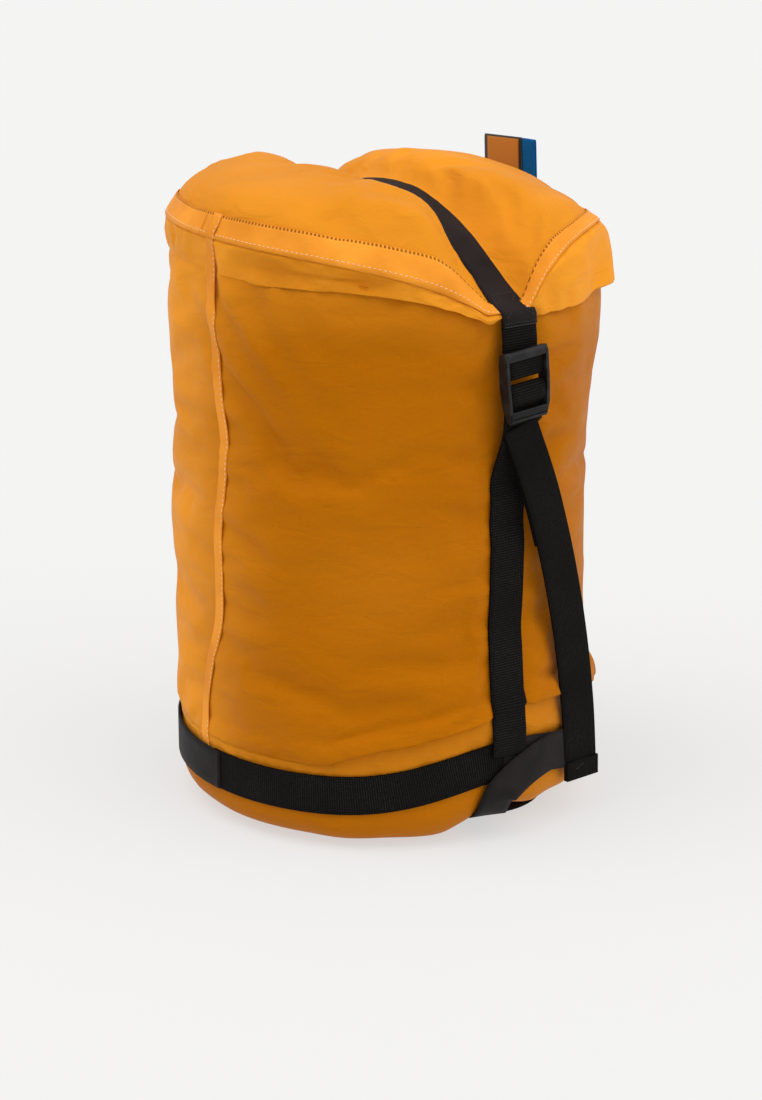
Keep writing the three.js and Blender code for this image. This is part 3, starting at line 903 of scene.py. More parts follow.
class Cloth(Enum):
    """The finishes that the pieces are dressed in."""

    NYLON = NylonFinish()
    TAPE = TapeFinish()
    WEBBING = WebbingFinish()
    RING = WebbingFinish(name="black_webbing_ring", rib=1.5 * MM, yarn=1.1 * MM)
    TAIL = WebbingFinish(name="black_webbing_tail", rib=0.95 * MM, yarn=1.0 * MM, slant=0.9)
    TWILL = TwillFinish()
    PLASTIC = PlasticFinish()
    # the blue webbing's fleck is painted highlight on its raised yarns too
    BLUE = WebbingFinish(
        name="blue_webbing",
        colour=(0.004, 0.115, 0.37),
        fleck=(0.02, 0.24, 0.60),
        rib=1.1 * MM,
        yarn=0.9 * MM,
    )
    LABEL = LabelFinish()
    CREAM = ThreadFinish("cream_thread", (0.95, 0.66, 0.36))
    BLACK = ThreadFinish("black_thread", (0.014, 0.013, 0.013))
    GREY = ThreadFinish("grey_thread", (0.12, 0.11, 0.105))


SLOTS = {
    Cloth.NYLON: "orange_nylon",
    Cloth.TAPE: "orange_tape",
    Cloth.WEBBING: "black_webbing",
    Cloth.RING: "black_webbing",
    Cloth.TAIL: "black_webbing",
    Cloth.TWILL: "black_twill",
    Cloth.PLASTIC: "black_plastic",
    Cloth.BLUE: "blue_webbing",
    Cloth.LABEL: "gold_weave",
}


@lru_cache(maxsize=None)
def material_of(cloth: Cloth) -> bpy.types.Material:
    """The material of a finish, made once."""
    return cloth.value.make()


def dress(obj: bpy.types.Object, cloth: Cloth) -> bpy.types.Object:
    """Gives a piece its material and names the record's slot.

    Args:
        obj: The piece.
        cloth: The finish it is dressed in.

    Returns:
        The same piece.
    """
    obj.data.materials.clear()
    obj.data.materials.append(material_of(cloth))
    if cloth in SLOTS:
        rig.slot(obj, SLOTS[cloth])
    return obj


# ---- The sack's surface --------------------------------------------------------------------------


class Side(Enum):
    """The two straps, by their angle about the axis."""

    FRONT = -90.0
    REAR = 90.0

    @property
    def word(self) -> str:
        """The side's name, as the bodies use it."""
        return self.name.lower()

    def place(self, aside: float, radius: float, height: float) -> Vector:
        """A point beside the strap's middle plane.

        Args:
            aside: How far to the right of the plane, seen from outside, in millimetres.
            radius: How far out from the axis, in millimetres.
            height: Height above the floor, in millimetres.

        Returns:
            The point in metres.
        """
        turn = math.radians(self.value)
        out = Vector((math.cos(turn), math.sin(turn), 0))
        right = Vector((-math.sin(turn), math.cos(turn), 0))
        return (out * radius + right * aside + Vector((0, 0, height))) * MM

    def outward(self, point: Vector) -> Vector:
        """Straight out of the sack at this strap."""
        return self.place(0, 1000, 0)


def radial(point: Vector) -> Vector:
    """Straight out from the axis."""
    return Vector((point.x, point.y, 0)).normalized()


class Row(Enum):
    """The rows of the fabric's mesh that follow a fold or an edge, from the hem up."""

    HEM = 0
    RING = 4
    STRIP = 6
    TUCK_ROOT = 8
    TUCK_LIP = 11
    BODY_LOW = 14
    BODY_HIGH = 62
    FLAP_ROOT = 65
    FLAP_LIP = 68
    FLAP_MIDDLE = 73
    RIM = 78


@dataclass(frozen=True)
class Fan:
    """Folds that spread over a lobe from a corner of the band, with their depth in millimetres."""

    x: float
    y: float
    pleats: int
    depth: float


@dataclass(frozen=True)
class SackShape:
    """The filled sack's outside, in millimetres."""

    rim: float = 383.0
    rim_radius: float = 137.0
    rim_sag: float = 13.0
    rim_draw: float = 4.0
    sag_angle: float = -20.0
    sag_reach: float = 24.0
    dip: float = 43.0
    peak: float = 409.0
    left_drop: float = 0.5
    full_over: tuple[float, float] = (8.0, 62.0)
    round_dome: float = 2.5
    full_dome: float = 8.0
    band_peak: float = 396.0
    band_fall: float = 66.0
    body: float = 129.2
    hem_radius: float = 132.4
    ring_low: float = 24.0
    ring_lift: float = 17.0
    webbing: float = 25.0
    tuck_depth: float = 6.0
    flap_stand: float = 3.0
    flap_low: float = 336.0
    hollow_depth: float = 6.5
    ear_angle: float = -47.0
    ear_length: float = 8.5
    fans: tuple[Fan, ...] = (
        Fan(-16, -128, 11, 2.3),
        Fan(16, -126, 13, 1.3),
        Fan(16, 128, 12, 1.6),
        Fan(-16, 128, 12, 1.6),
    )

    def rim_height(self, angle: float) -> float:
        """Height of the rim seam: the straps pull it down, and it sags on the front strap's right."""
        front, rear = turn_from(angle, -90), turn_from(angle, 90)
        flat, reach = (9, 27) if front < 0 else (4, 10)
        pulled = math.exp(-max(0, abs(front) - flat) / reach) + math.exp(-max(0, abs(rear) - 7) / 18)
        sag = self.rim_sag * bump(turn_from(angle, self.sag_angle), 0, self.sag_reach)
        return self.rim - sag - self.dip * pulled

    def rim_out(self, angle: float) -> float:
        """Radius of the rim seam, drawn in a little where it sags."""
        return self.rim_radius - self.rim_draw * bump(turn_from(angle, self.sag_angle), 0, self.sag_reach)

    def ring_bottom(self, angle: float) -> float:
        """Height of the cap's webbing hem, lower edge."""
        return self.ring_low + self.ring_lift * abs(math.sin(math.radians(angle))) ** 8

    def ring_top(self, angle: float) -> float:
        """Height of the cap's webbing hem, upper edge."""
        return self.ring_bottom(angle) + self.webbing

    def body_radius(self, angle: float, height: float) -> float:
        """Radius of the filled body: fuller at the top, leaning a little, with soft creases.

        Args:
            angle: About the axis, in degrees.
            height: Above the floor, in millimetres.

        Returns:
            The radius in millimetres.
        """
        radius = self.body + 4.0 * ease(height, 250, 345) + 2.4 * (1 - ease(height, 75, 125))
        radius += 3.8 * bump(height, 180, 75) * math.cos(math.radians(angle - 144))
        front, rear = turn_from(angle, -90), turn_from(angle, 90)
        radius += 3.2 * bump(front, 0, 30) * bump(height, 180, 95)
        strap = min(abs(front), abs(rear)) * math.radians(self.body)
        below = 1 - ease(height, 300, 330)
        radius += (1.3 * bump(strap, 23, 8) - 1.1 * bump(strap, 0, 13)) * below
        return radius + self.creases(angle, height)

    def creases(self, angle: float, height: float) -> float:
        """Soft creases in the body's cloth.

        Args:
            angle: About the axis, in degrees.
            height: Above the floor, in millimetres.

        Returns:
            How far they stand out, in millimetres.
        """
        turn = math.radians(angle)
        flat = Vector((math.cos(turn) * 2.1, math.sin(turn) * 2.1, height / 42))
        slack = noise.noise(flat) * 2.2 + noise.noise(flat * 2.3 + Vector((7, 3, 1))) * 1.3
        below_rim = self.rim_height(angle) - height
        from_seam = turn_from(angle, -178) * PER_DEGREE
        fan = math.sin((below_rim - 1.15 * from_seam) / 6.2)
        fan *= bump(from_seam, 34, 40) * bump(below_rim, 62, 48)
        steep = math.sin(from_seam / 9 + below_rim / 60) * bump(from_seam, -30, 30)
        steep *= bump(below_rim, 120, 120)
        low = math.sin((height + 0.35 * from_seam) / 7.5) * bump(height, 96, 30) * bump(from_seam, 60, 70)
        return slack + 2.6 * fan + 1.2 * steep + 1.1 * low

    def tuck(self, angle: float) -> tuple[float, float]:
        """The fold that sags over the ring.

        Args:
            angle: About the axis, in degrees.

        Returns:
            The fold's height above the ring, and how much of it there is.
        """
        front, rear = turn_from(angle, -90), turn_from(angle, 90)
        share = ease(front, -66, -44) * (1 - ease(front, 48, 80)) + 0.7 * (1 - ease(abs(rear), 34, 58))
        gap = 12 * ease(front, -62, -34) + 9 * ease(front, -4, 20)
        return 6 + gap * share, share

    def flap(self, angle: float) -> tuple[float, float, float, float]:
        """The fold of loose cloth that hangs over the body under the rim.

        Args:
            angle: About the axis, in degrees.

        Returns:
            The fold's height, how much of it there is, how far it stands off, and how deep the hollow
            above it is.
        """
        front, rear = turn_from(angle, -90), turn_from(angle, 90)
        rim = self.rim_height(angle)
        if abs(rear) < 70:
            share = 0.8 * (1 - ease(abs(rear), 36, 66))
            return rim - mix(22, 3.5 + 0.3 * abs(rear), share), share, 1.5 + 2 * share, 0.0
        share = ease(front, -84, -56) * (1 - ease(front, 66, 92))
        if front < 0:
            drop = 3.5 + 0.30 * max(0.0, -front - 9)
            stand = 2.8 + self.flap_stand * ease(front, -46, -18)
            hollow = self.hollow_depth * ease(front, -84, -66) * (1 - ease(front, -42, -20))
        else:
            drop = rim - self.flap_low - 5 * ease(front, 20, 44)
            stand = self.flap_stand + 1.5
            hollow = 0.0
        return rim - mix(22, drop, share), share, stand * share, hollow

    def ear(self, angle: float) -> float:
        """How far the fold's corner sticks out at an angle."""
        return self.ear_length * bump(turn_from(angle, self.ear_angle), 0, 7.5)

    def anchors(self, angle: float) -> list[tuple[Row, float, float]]:
        """The rows that follow a fold or an edge.

        Args:
            angle: About the axis, in degrees.

        Returns:
            Each row with its radius and height.
        """
        top = self.ring_top(angle)
        gap, tucked = self.tuck(angle)
        lip, folded, stand, hollow = self.flap(angle)
        rim = self.rim_height(angle)
        strap = min(abs(turn_from(angle, -90)), abs(turn_from(angle, 90))) * PER_DEGREE
        free = ease(strap, 11, 20)
        under = self.body_radius(angle, lip)
        ear = self.ear(angle)
        low = top + gap + 13
        tuck_out = self.tuck_depth * tucked
        lip_out = self.hem_radius + 1.5 + tuck_out * mix(0.3, 1, free)
        middle = mix(lip, rim, 0.45)
        over = mix(under + stand, self.rim_out(angle), 0.45) - hollow + 1.5 * stand / self.flap_stand * free
        return [
            (Row.HEM, self.hem_radius, self.ring_bottom(angle) + 4),
            (Row.RING, self.hem_radius + 0.2, top - 1),
            (Row.STRIP, self.hem_radius + 1.0 + 2.0 * tucked, top + 0.45 * gap),
            (Row.TUCK_ROOT, self.hem_radius + 1.2, top + gap + 1.0 * tucked),
            (Row.TUCK_LIP, lip_out, top + gap - 3.5 * tucked * free + 2),
            (Row.BODY_LOW, self.body_radius(angle, low), low),
            (Row.BODY_HIGH, self.body_radius(angle, lip - 14), lip - 14),
            (Row.FLAP_ROOT, under - 1.0 * folded, lip + 5.0 * folded * free),
            (Row.FLAP_LIP, under + stand * mix(0.25, 1, free) + ear, lip - 1.5 * folded * free),
            (Row.FLAP_MIDDLE, over + 0.3 * ear, middle),
            (Row.RIM, self.rim_out(angle), rim),
        ]

    def wall_line(self, angle: float) -> list[tuple[float, float]]:
        """The radius and height of every row of the mesh at an angle."""
        line = []
        stops = self.anchors(angle)
        for (row, radius, height), (next_row, next_radius, next_height) in zip(stops, stops[1:]):
            count = next_row.value - row.value
            for step in range(count):
                share = step / count
                level = mix(height, next_height, share)
                if row is Row.BODY_LOW:
                    line.append((self.body_radius(angle, level), level))
                else:
                    line.append((mix(radius, next_radius, share), level))
        return [*line, stops[-1][1:]]

    def crown_height(self, x: float, y: float) -> float:
        """Height of the closed end over a place: a dome with two lobes and the band's groove.

        Args:
            x: Across the band, in millimetres.
            y: Along the band, in millimetres.

        Returns:
            The height in millimetres.
        """
        angle = math.degrees(math.atan2(y, x)) if x or y else 0.0
        out = min(1.0, math.hypot(x, y) / self.rim_out(angle))
        edge = self.rim_height(angle)
        full = ease(-x, *self.full_over)
        top = self.peak - self.left_drop * full
        dome = edge + (top - edge) * (1 - out ** mix(self.round_dome, self.full_dome, full))
        along = min(1.0, abs(y) / self.rim_radius)
        line_edge = self.rim_height(math.copysign(90, y))
        on_line = line_edge + (self.peak - line_edge) * (1 - along**2.5)
        groove = on_line - (self.band_peak - self.band_fall * along**2.1)
        beside = max(0.0, abs(x) - 10) / (9 if x > 0 else 13)
        lift = 3.5 * bump(x, 34, 20) * bump(y, -30, 70) + 2.0 * bump(x, -42, 24) * bump(y, -20, 70)
        height = dome - groove * math.exp(-beside * beside) * (1 - out**14) + lift * (1 - out**6)
        return height + self.gathers(x, y) * (1 - out**12)

    def gathers(self, x: float, y: float) -> float:
        """Folds that fan out over the lobes from the ends of the band.

        Args:
            x: Across the band, in millimetres.
            y: Along the band, in millimetres.

        Returns:
            How far they stand up, in millimetres.
        """
        height = 0.0
        for fan in self.fans:
            aside, away = x - fan.x, y - fan.y
            if aside * fan.x < 0:
                continue
            distance = math.hypot(aside, away)
            turn = math.atan2(abs(away), abs(aside))
            fold = fan.depth * math.sin(turn * fan.pleats + 0.02 * distance)
            height += fold * ease(distance, 4, 26) * bump(distance, 26, 52)
        return height + 1.2 * noise.noise(Vector((x, y, 0)) / 34)

    def crown_point(self, out: float, angle: float) -> Vector:
        """A point of the closed end, in metres, at a share of the rim's radius and an angle."""
        turn = math.radians(angle)
        x = out * self.rim_out(angle) * math.cos(turn)
        y = out * self.rim_out(angle) * math.sin(turn)
        height = self.rim_height(angle) if out > DISC_EDGE else self.crown_height(x, y)
        return Vector((x, y, height)) * MM

    def strap_radius(self, side: Side, height: float) -> float:
        """Radius of the middle of a strap that lies on the body."""
        return self.body_radius(side.value, height) + 2.0


# ---- The fabric ----------------------------------------------------------------------------------


@dataclass
class SackFabric:
    """The sack's cloth: wall, loose folds, closed end and gathered mouth, in one closed sheet."""

    shape: SackShape
    columns: int = WALL_COLUMNS
    wall_length: float = 0.36
    frames: int = 22
    pressure: float = 4.0
    most_move: float = 3.8 * MM
    mouth_height: float = 27.0
    start: Vector = field(default_factory=lambda: Vector((0, 0, 0.07)))
    end: Vector = field(default_factory=lambda: Vector((0, 0, 0.29)))

    def wall_place(self, across: float, along: float) -> Vector:
        """The wall's point at a share round it and a share up it."""
        angle = round(across * self.columns) * 360 / self.columns - 180
        radius, height = self.line_at(angle)[round(along * Row.RIM.value)]
        return ring_point(angle, radius, height)

    @lru_cache(maxsize=None)
    def line_at(self, angle: float) -> list[tuple[float, float]]:
        """The wall's rows at an angle, worked out once."""
        return self.shape.wall_line(angle)

    def __hash__(self) -> int:
        """Lets the rows be kept by angle."""
        return id(self)

    def crown_place(self, across: float, along: float) -> Vector:
        """The closed end's point at a place in the square grid."""
        return self.shape.crown_point(*disc_place(across, along))

    def mouth_place(self, across: float, along: float) -> Vector:
        """The gathered mouth's point at a place in the square grid."""
        out, angle = disc_place(1 - across, along)
        angle = angle if out < DISC_EDGE else (angle + 180) % 360 - 180
        hem_radius, hem_height = self.line_at(column_angle(angle, self.columns))[0]
        pleat = 2.2 * math.sin(math.radians(angle) * 24) * out * (1 - out) * 3
        level = mix(self.mouth_height, hem_height, ease(out, 0.75, 1.0))
        return ring_point(angle, hem_radius * out, level + pleat)

    def build(self) -> bpy.types.Object:
        """Makes the cloth's mesh, lets it settle, and finishes it.

        Returns:
            The fabric.
        """
        girth = 2 * math.pi * self.shape.body * MM
        bm = bmesh.new()
        held = bm.verts.layers.float.new("held")
        # the strength of the painted glow in the nylon's colour at each point
        loose = bm.verts.layers.float.new("loose")
        wall = mapped_grid(
            bm,
            self.columns,
            Row.RIM.value,
            self.wall_place,
            lambda across, along: (across * girth, along * self.wall_length),
        )
        side = self.columns // 4
        span = 2 * self.shape.rim_radius * MM
        crown = mapped_grid(bm, side, side, self.crown_place, lambda a, b: (a * span, b * span))
        mapped_grid(bm, side, side, self.mouth_place, lambda a, b: (a * span, b * span))
        per_row = self.columns + 1
        for index, vert in enumerate(wall):
            vert[held] = self.hold_wall(vert.co, index // per_row)
            vert[loose] = self.loose_wall(vert.co, index // per_row)
        for vert in crown:
            vert[held] = self.hold_crown(vert.co)
            vert[loose] = self.loose_crown(vert.co)
        for vert in bm.verts:
            if vert.co.z < (self.mouth_height + 8) * MM:
                vert[held] = 1.0
        bmesh.ops.remove_doubles(bm, verts=bm.verts[:], dist=1e-5)
        fabric = object_from(bm, "sack_fabric")
        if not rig.quick():
            self.settle(fabric)
        subdivide(fabric)
        return fabric

    def hold_wall(self, point: Vector, row: int) -> float:
        """How firmly a point of the wall is held while the cloth settles."""
        angle = angle_of(point)
        strap = min(abs(turn_from(angle, -90)), abs(turn_from(angle, 90))) * PER_DEGREE
        seam = abs(turn_from(angle, 180)) * PER_DEGREE
        firm = max(1 - ease(strap, 13, 20), 0.85 * (1 - ease(seam, 8, 20)))
        if row <= Row.RING.value or row >= Row.RIM.value:
            return 1.0
        if Row.STRIP.value <= row <= Row.TUCK_LIP.value or Row.FLAP_ROOT.value <= row <= Row.FLAP_LIP.value:
            return max(firm, 0.6)
        return firm

    def hold_crown(self, point: Vector) -> float:
        """How firmly a point of the closed end is held while the cloth settles."""
        out = math.hypot(point.x, point.y) / (self.shape.rim_out(angle_of(point)) * MM)
        return max(ease(out, 0.90, 0.95), 1 - ease(abs(point.x), 13 * MM, 20 * MM))

    def loose_wall(self, point: Vector, row: int) -> float:
        """How strong the painted glow in the wall's colour is at a point."""
        angle = angle_of(point)
        # painted light: the flap and the cloth above it glow fully, less in the hollow above the flap, which is
        # painted shade
        if row >= Row.FLAP_LIP.value - 1:
            hollow = self.shape.flap(angle)[3] / self.shape.hollow_depth
            return 1.0 - 0.45 * hollow
        # painted light: the side lit from the left, round 160 degrees, glows brighter
        left = bump(turn_from(angle, 160), 0, 26)
        base = 0.85 * left + 0.12 * noise.noise(Vector((point.x, point.y, point.z)) * 14)
        if row <= Row.TUCK_ROOT.value:
            return 0.30 + base
        return max(0.0, base + 0.25 * ease(row, Row.BODY_HIGH.value - 6, Row.FLAP_ROOT.value))

    def loose_crown(self, point: Vector) -> float:
        """How strong the painted glow in the closed end's colour is at a point: bright all over the lit top."""
        return 0.72 + 0.18 * noise.noise(Vector((point.x, point.y, 0)) * 16)

    def settle(self, fabric: bpy.types.Object) -> None:
        """Runs the cloth and moves the mesh to where it settles.

        Args:
            fabric: The fabric, whose mesh is moved.
        """
        scene = bpy.context.scene
        mesh = fabric.data
        group = fabric.vertex_groups.new(name="held")
        for index, value in enumerate(mesh.attributes["held"].data):
            group.add([index], min(1.0, value.value), "REPLACE")
        modifier = fabric.modifiers.new("Cloth", "CLOTH")
        settings = modifier.settings
        settings.quality = 5
        settings.mass = 0.12
        settings.tension_stiffness = 18
        settings.compression_stiffness = 18
        settings.shear_stiffness = 6
        settings.bending_stiffness = 0.25
        settings.shrink_min = -0.045
        settings.use_pressure = True
        settings.uniform_pressure_force = self.pressure
        settings.vertex_group_mass = group.name
        settings.effector_weights.gravity = 0
        modifier.point_cache.frame_start = 1
        modifier.point_cache.frame_end = self.frames
        scene.frame_start, scene.frame_end = 1, self.frames
        for frame in range(1, self.frames + 1):
            scene.frame_set(frame)
        settled = fabric.evaluated_get(bpy.context.evaluated_depsgraph_get())
        new = np.zeros(len(mesh.vertices) * 3, np.float32)
        old = np.zeros(len(mesh.vertices) * 3, np.float32)
        settled.data.vertices.foreach_get("co", new)
        mesh.vertices.foreach_get("co", old)
        move = (new - old).reshape(-1, 3)
        length = np.linalg.norm(move, axis=1, keepdims=True)
        move *= np.minimum(1.0, self.most_move / np.maximum(length, 1e-9))
        LOG.info("the cloth moved %.1f mm at most, %.1f mm on average", length.max() / MM, length.mean() / MM)
        fabric.modifiers.remove(modifier)
        scene.frame_set(1)
        mesh.vertices.foreach_set("co", (old.reshape(-1, 3) + move).ravel())
        mesh.update()

    def place(self) -> bpy.types.Object:
        """Builds the fabric, dresses it and lets it shorten with the sack.

        Returns:
            The fabric.
        """
        fabric = dress(self.build(), Cloth.NYLON)
        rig.replaces(fabric, "side_panel", "upper_side_panel", "end_panel", "mouth_gather")
        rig.blend(fabric, "base", "top_end", start=self.start, end=self.end)
        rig.padded(fabric, fill=0.9)
        return fabric


@dataclass
class Cap:
    """The cap over the mouth: two lobes of cloth below the webbing hem, parted by the band's groove."""

    shape: SackShape
    columns: int = WALL_COLUMNS
    rows: int = 16
    wall_length: float = 0.05
    wall: float = 133.1
    foot: float = 99.0
    lift: float = 9.0
    drawn_in: float = 24.0
    lifted_at: float = 44.0
    lifted_reach: float = 30.0
    lobe_share: float = 0.7
    hidden_share: float = 0.3
    floor_gap: float = 0.4
    groove_height: float = 14.0
    groove_half: float = 42.0
    bulge: float = 1.6
    fabric: float = 0.5 * MM

    def lifted(self, angle: float) -> float:
        """How much the cap is drawn in and up at an angle: the lobe on the front strap's right is."""
        return bump(turn_from(angle, -90), self.lifted_at, self.lifted_reach)

    def lobe_point(self, angle: float, share: float) -> Vector:
        """A point of the cap's side.

        Args:
            angle: About the axis, in degrees.
            share: From the foot, 0, to the hidden edge behind the webbing, 1.

        Returns:
            The point in metres.
        """
        low = self.shape.ring_bottom(angle)
        front, rear = turn_from(angle, -90), turn_from(angle, 90)
        if share > self.lobe_share:
            rise = (share - self.lobe_share) / self.hidden_share
            return ring_point(angle, self.wall, mix(low - 1, low + self.shape.webbing - 4, rise))
        turn = math.radians(angle)
        arc = share / self.lobe_share * math.pi / 2
        aside = min(abs(front), abs(rear)) * 2.3
        pinch = 1 - math.sin(arc)
        fold = math.sin(front / 3.1 + 5 * arc) * bump(front, 26, 26)
        fold += math.sin(front / 4.3) * bump(front, -34, 30)
        fold += 0.8 * noise.noise(Vector((math.cos(turn) * 4, math.sin(turn) * 4, arc)))
        swell = self.bulge * math.sin(2 * arc) + 1.3 * fold * math.sin(2 * arc)
        foot = self.foot - self.drawn_in * self.lifted(angle)
        radius = foot + (self.wall - foot) * math.sin(arc) ** 0.8 + swell
        radius -= 9 * bump(aside, 0, 14) * math.cos(arc) ** 0.6 * (1 - 0.3 * pinch)
        floor = self.floor_gap + self.lift * self.lifted(angle)
        height = floor + (low - 1 - floor) * (1 - math.cos(arc))
        groove = self.groove(radius * math.cos(turn))
        return ring_point(angle, radius, height + groove * (1 - share / self.lobe_share))

    def groove(self, x: float) -> float:
        """Height of the groove under the cap, across the band."""
        return self.groove_height * max(0.0, 1 - (x / self.groove_half) ** 2) ** 2

    def wall_place(self, across: float, along: float) -> Vector:
        """The side's point at a share round it and a share up it."""
        return self.lobe_point(round(across * self.columns) * 360 / self.columns - 180, along)

    def foot_place(self, across: float, along: float) -> Vector:
        """The underside's point at a place in the square grid."""
        out, angle = disc_place(1 - across, along)
        if out > DISC_EDGE:
            return self.lobe_point(angle, 0.0)
        edge = self.lobe_point(angle, 0.0) / MM
        spot = ring_point(angle, out * math.hypot(edge.x, edge.y), 0) / MM
        floor = self.floor_gap + self.lift * self.lifted(angle) * out**3
        return Vector((spot.x, spot.y, floor + self.groove(spot.x))) * MM

    def place(self) -> bpy.types.Object:
        """Builds the cap, dresses it and lets it ride on the base.

        Returns:
            The cap.
        """
        bm = bmesh.new()
        loose = bm.verts.layers.float.new("loose")
        girth = 2 * math.pi * self.wall * MM
        wall = mapped_grid(
            bm,
            self.columns,
            self.rows,
            self.wall_place,
            lambda across, along: (across * girth, along * self.wall_length),
        )
        side = self.columns // 4
        span = 2 * self.foot * MM
        mapped_grid(bm, side, side, self.foot_place, lambda a, b: (a * span, b * span))
        # painted glow: the cap's side round -60 degrees is brightened
        for vert in wall:
            vert[loose] = 0.03 + 0.30 * bump(turn_from(angle_of(vert.co), -60), 0, 30)
        bmesh.ops.remove_doubles(bm, verts=bm.verts[:], dist=1e-5)
        cap = object_from(bm, "cap_fabric")
        thicken(cap, self.fabric, -1)
        dress(cap, Cloth.NYLON)
        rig.replaces(cap, "cap_panel")
        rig.padded(cap, fill=0.7)
        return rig.ride(cap, "base")


@dataclass
class MouthHem:
    """The rolled hem round the drawn mouth, hidden under the cap, with its pleats."""

    ring_radius: float = 23.5
    roll: float = 3.4
    height: float = 20.0
    pleats: int = 24

    def place(self) -> bpy.types.Object:
        """Builds the hem and lets it ride on the base.

        Returns:
            The hem.
        """
        bm = bmesh.new()
        made = bmesh.ops.create_circle(bm, segments=14, radius=self.roll * MM)["verts"]
        out_to_ring = Matrix.Translation((self.ring_radius * MM, 0, self.height * MM))
        upright = Matrix.Rotation(math.pi / 2, 4, "X")
        bmesh.ops.transform(bm, matrix=out_to_ring @ upright, verts=made)
        bmesh.ops.spin(
            bm,
            geom=bm.edges[:] + bm.verts[:],
            cent=(0, 0, 0),
            axis=(0, 0, 1),
            angle=2 * math.pi,
            steps=self.pleats * 6,
            use_merge=True,
        )
        bmesh.ops.recalc_face_normals(bm, faces=bm.faces[:])
        for vert in bm.verts:
            out = 1 + 0.05 * math.sin(self.pleats * math.radians(angle_of(vert.co)))
            vert.co.x *= out
            vert.co.y *= out
        hem = dress(object_from(bm, "mouth_hem_roll"), Cloth.TAPE)
        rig.replaces(hem, "mouth_hem")
        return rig.ride(hem, "base")


@dataclass(frozen=True)
class Surface:
    """The settled cloth, for laying other pieces on it."""

    tree: BVHTree
    reach: float = 18 * MM

    @classmethod
    def of(cls, cloth: bpy.types.Object) -> "Surface":
        """Takes the cloth's surface as its modifiers leave it."""
        return cls(BVHTree.FromObject(cloth, bpy.context.evaluated_depsgraph_get()))

    def onto(self, point: Vector, outward: Vector, stand: float) -> Vector:
        """Lays a point on the cloth.

        Args:
            point: A point near the cloth.
            outward: The direction out of the cloth there.
            stand: How far off the cloth it is to lie, in millimetres.

        Returns:
            The point on the line through it, so far off the cloth.
        """
        hit = self.tree.ray_cast(point + outward * self.reach, -outward, 2 * self.reach)[0]
        return (hit or point) + outward * (stand * MM)

    def clear(self, point: Vector, outward: Vector, stand: float) -> Vector:
        """Moves a point out only as far as it needs to stand off the cloth, in millimetres."""
        laid = self.onto(point, outward, stand)
        return laid if (laid - point).dot(outward) > 0 else point


# ---- Seams ---------------------------------------------------------------------------------------


@dataclass
class RimSeam:
    """The doubled strip round the closed end, stitched along its outer edge."""

    shape: SackShape
    surface: Surface
    width: float = 9.0
    stand: float = 0.9
    stitch_at: float = 0.16
    stitch_lift: float = 0.35
    columns: int = 384
    rows: int = 6

    def point(self, angle: float, share: float) -> Vector:
        """A point of the strip.

        Args:
            angle: About the axis, in degrees.
            share: From its outer edge on the wall, 0, to its inner edge on the crown, 1.

        Returns:
            The point in metres.
        """
        inward = self.width * share / self.shape.rim_out(angle)
        base = self.shape.crown_point(1 - inward, angle)
        near = self.shape.crown_point(1 - inward - 0.01, angle)
        slope = (near - base).normalized()
        turn = math.radians(angle)
        side = Vector((-math.sin(turn), math.cos(turn), 0))
        out = side.cross(slope).normalized()
        ruffle = 0.35 * math.sin(angle * 1.9) * math.sin(angle * 0.7 + 1) * math.sin(math.pi * share)
        return self.surface.onto(base, out, self.stand + ruffle)

    def up(self, angle: float) -> Vector:
        """Out of the strip at its stitched edge: half up and half outwards."""
        return (ring_point(angle, 1, 0).normalized() + Vector((0, 0, 1))).normalized()

    def stitch_point(self, angle: float) -> Vector:
        """Where the row of stitches runs at an angle, in metres."""
        return self.point(angle, self.stitch_at) + self.up(angle) * (self.stitch_lift * MM)

    def place(self) -> list[bpy.types.Object]:
        """Builds the strip and its stitches, which ride with the closed end.

        Returns:
            The strip and the stitches.
        """
        girth = 2 * math.pi * self.shape.rim_radius * MM
        bm = bmesh.new()
        mapped_grid(
            bm,
            self.columns,
            self.rows,
            lambda across, along: self.point(360 * across - 180, along),
            lambda across, along: (along * self.width * MM, across * girth),
        )
        bmesh.ops.remove_doubles(bm, verts=bm.verts[:], dist=1e-6)
        tape = object_from(bm, "rim_seam_strip")
        thicken(tape, 0.5 * MM)
        dress(tape, Cloth.TAPE)
        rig.replaces(tape, "rim_seam_tape")
        seam = [self.stitch_point(half_degree / 2) for half_degree in range(720)]
        sewn = stitches("rim_seam_stitches", [*seam, seam[0]], radial, 3.2 * MM, 2.3 * MM, CREAM_THREAD)
        dress(sewn, Cloth.CREAM)
        return [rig.ride(tape, "top_end"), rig.ride(sewn, "top_end")]


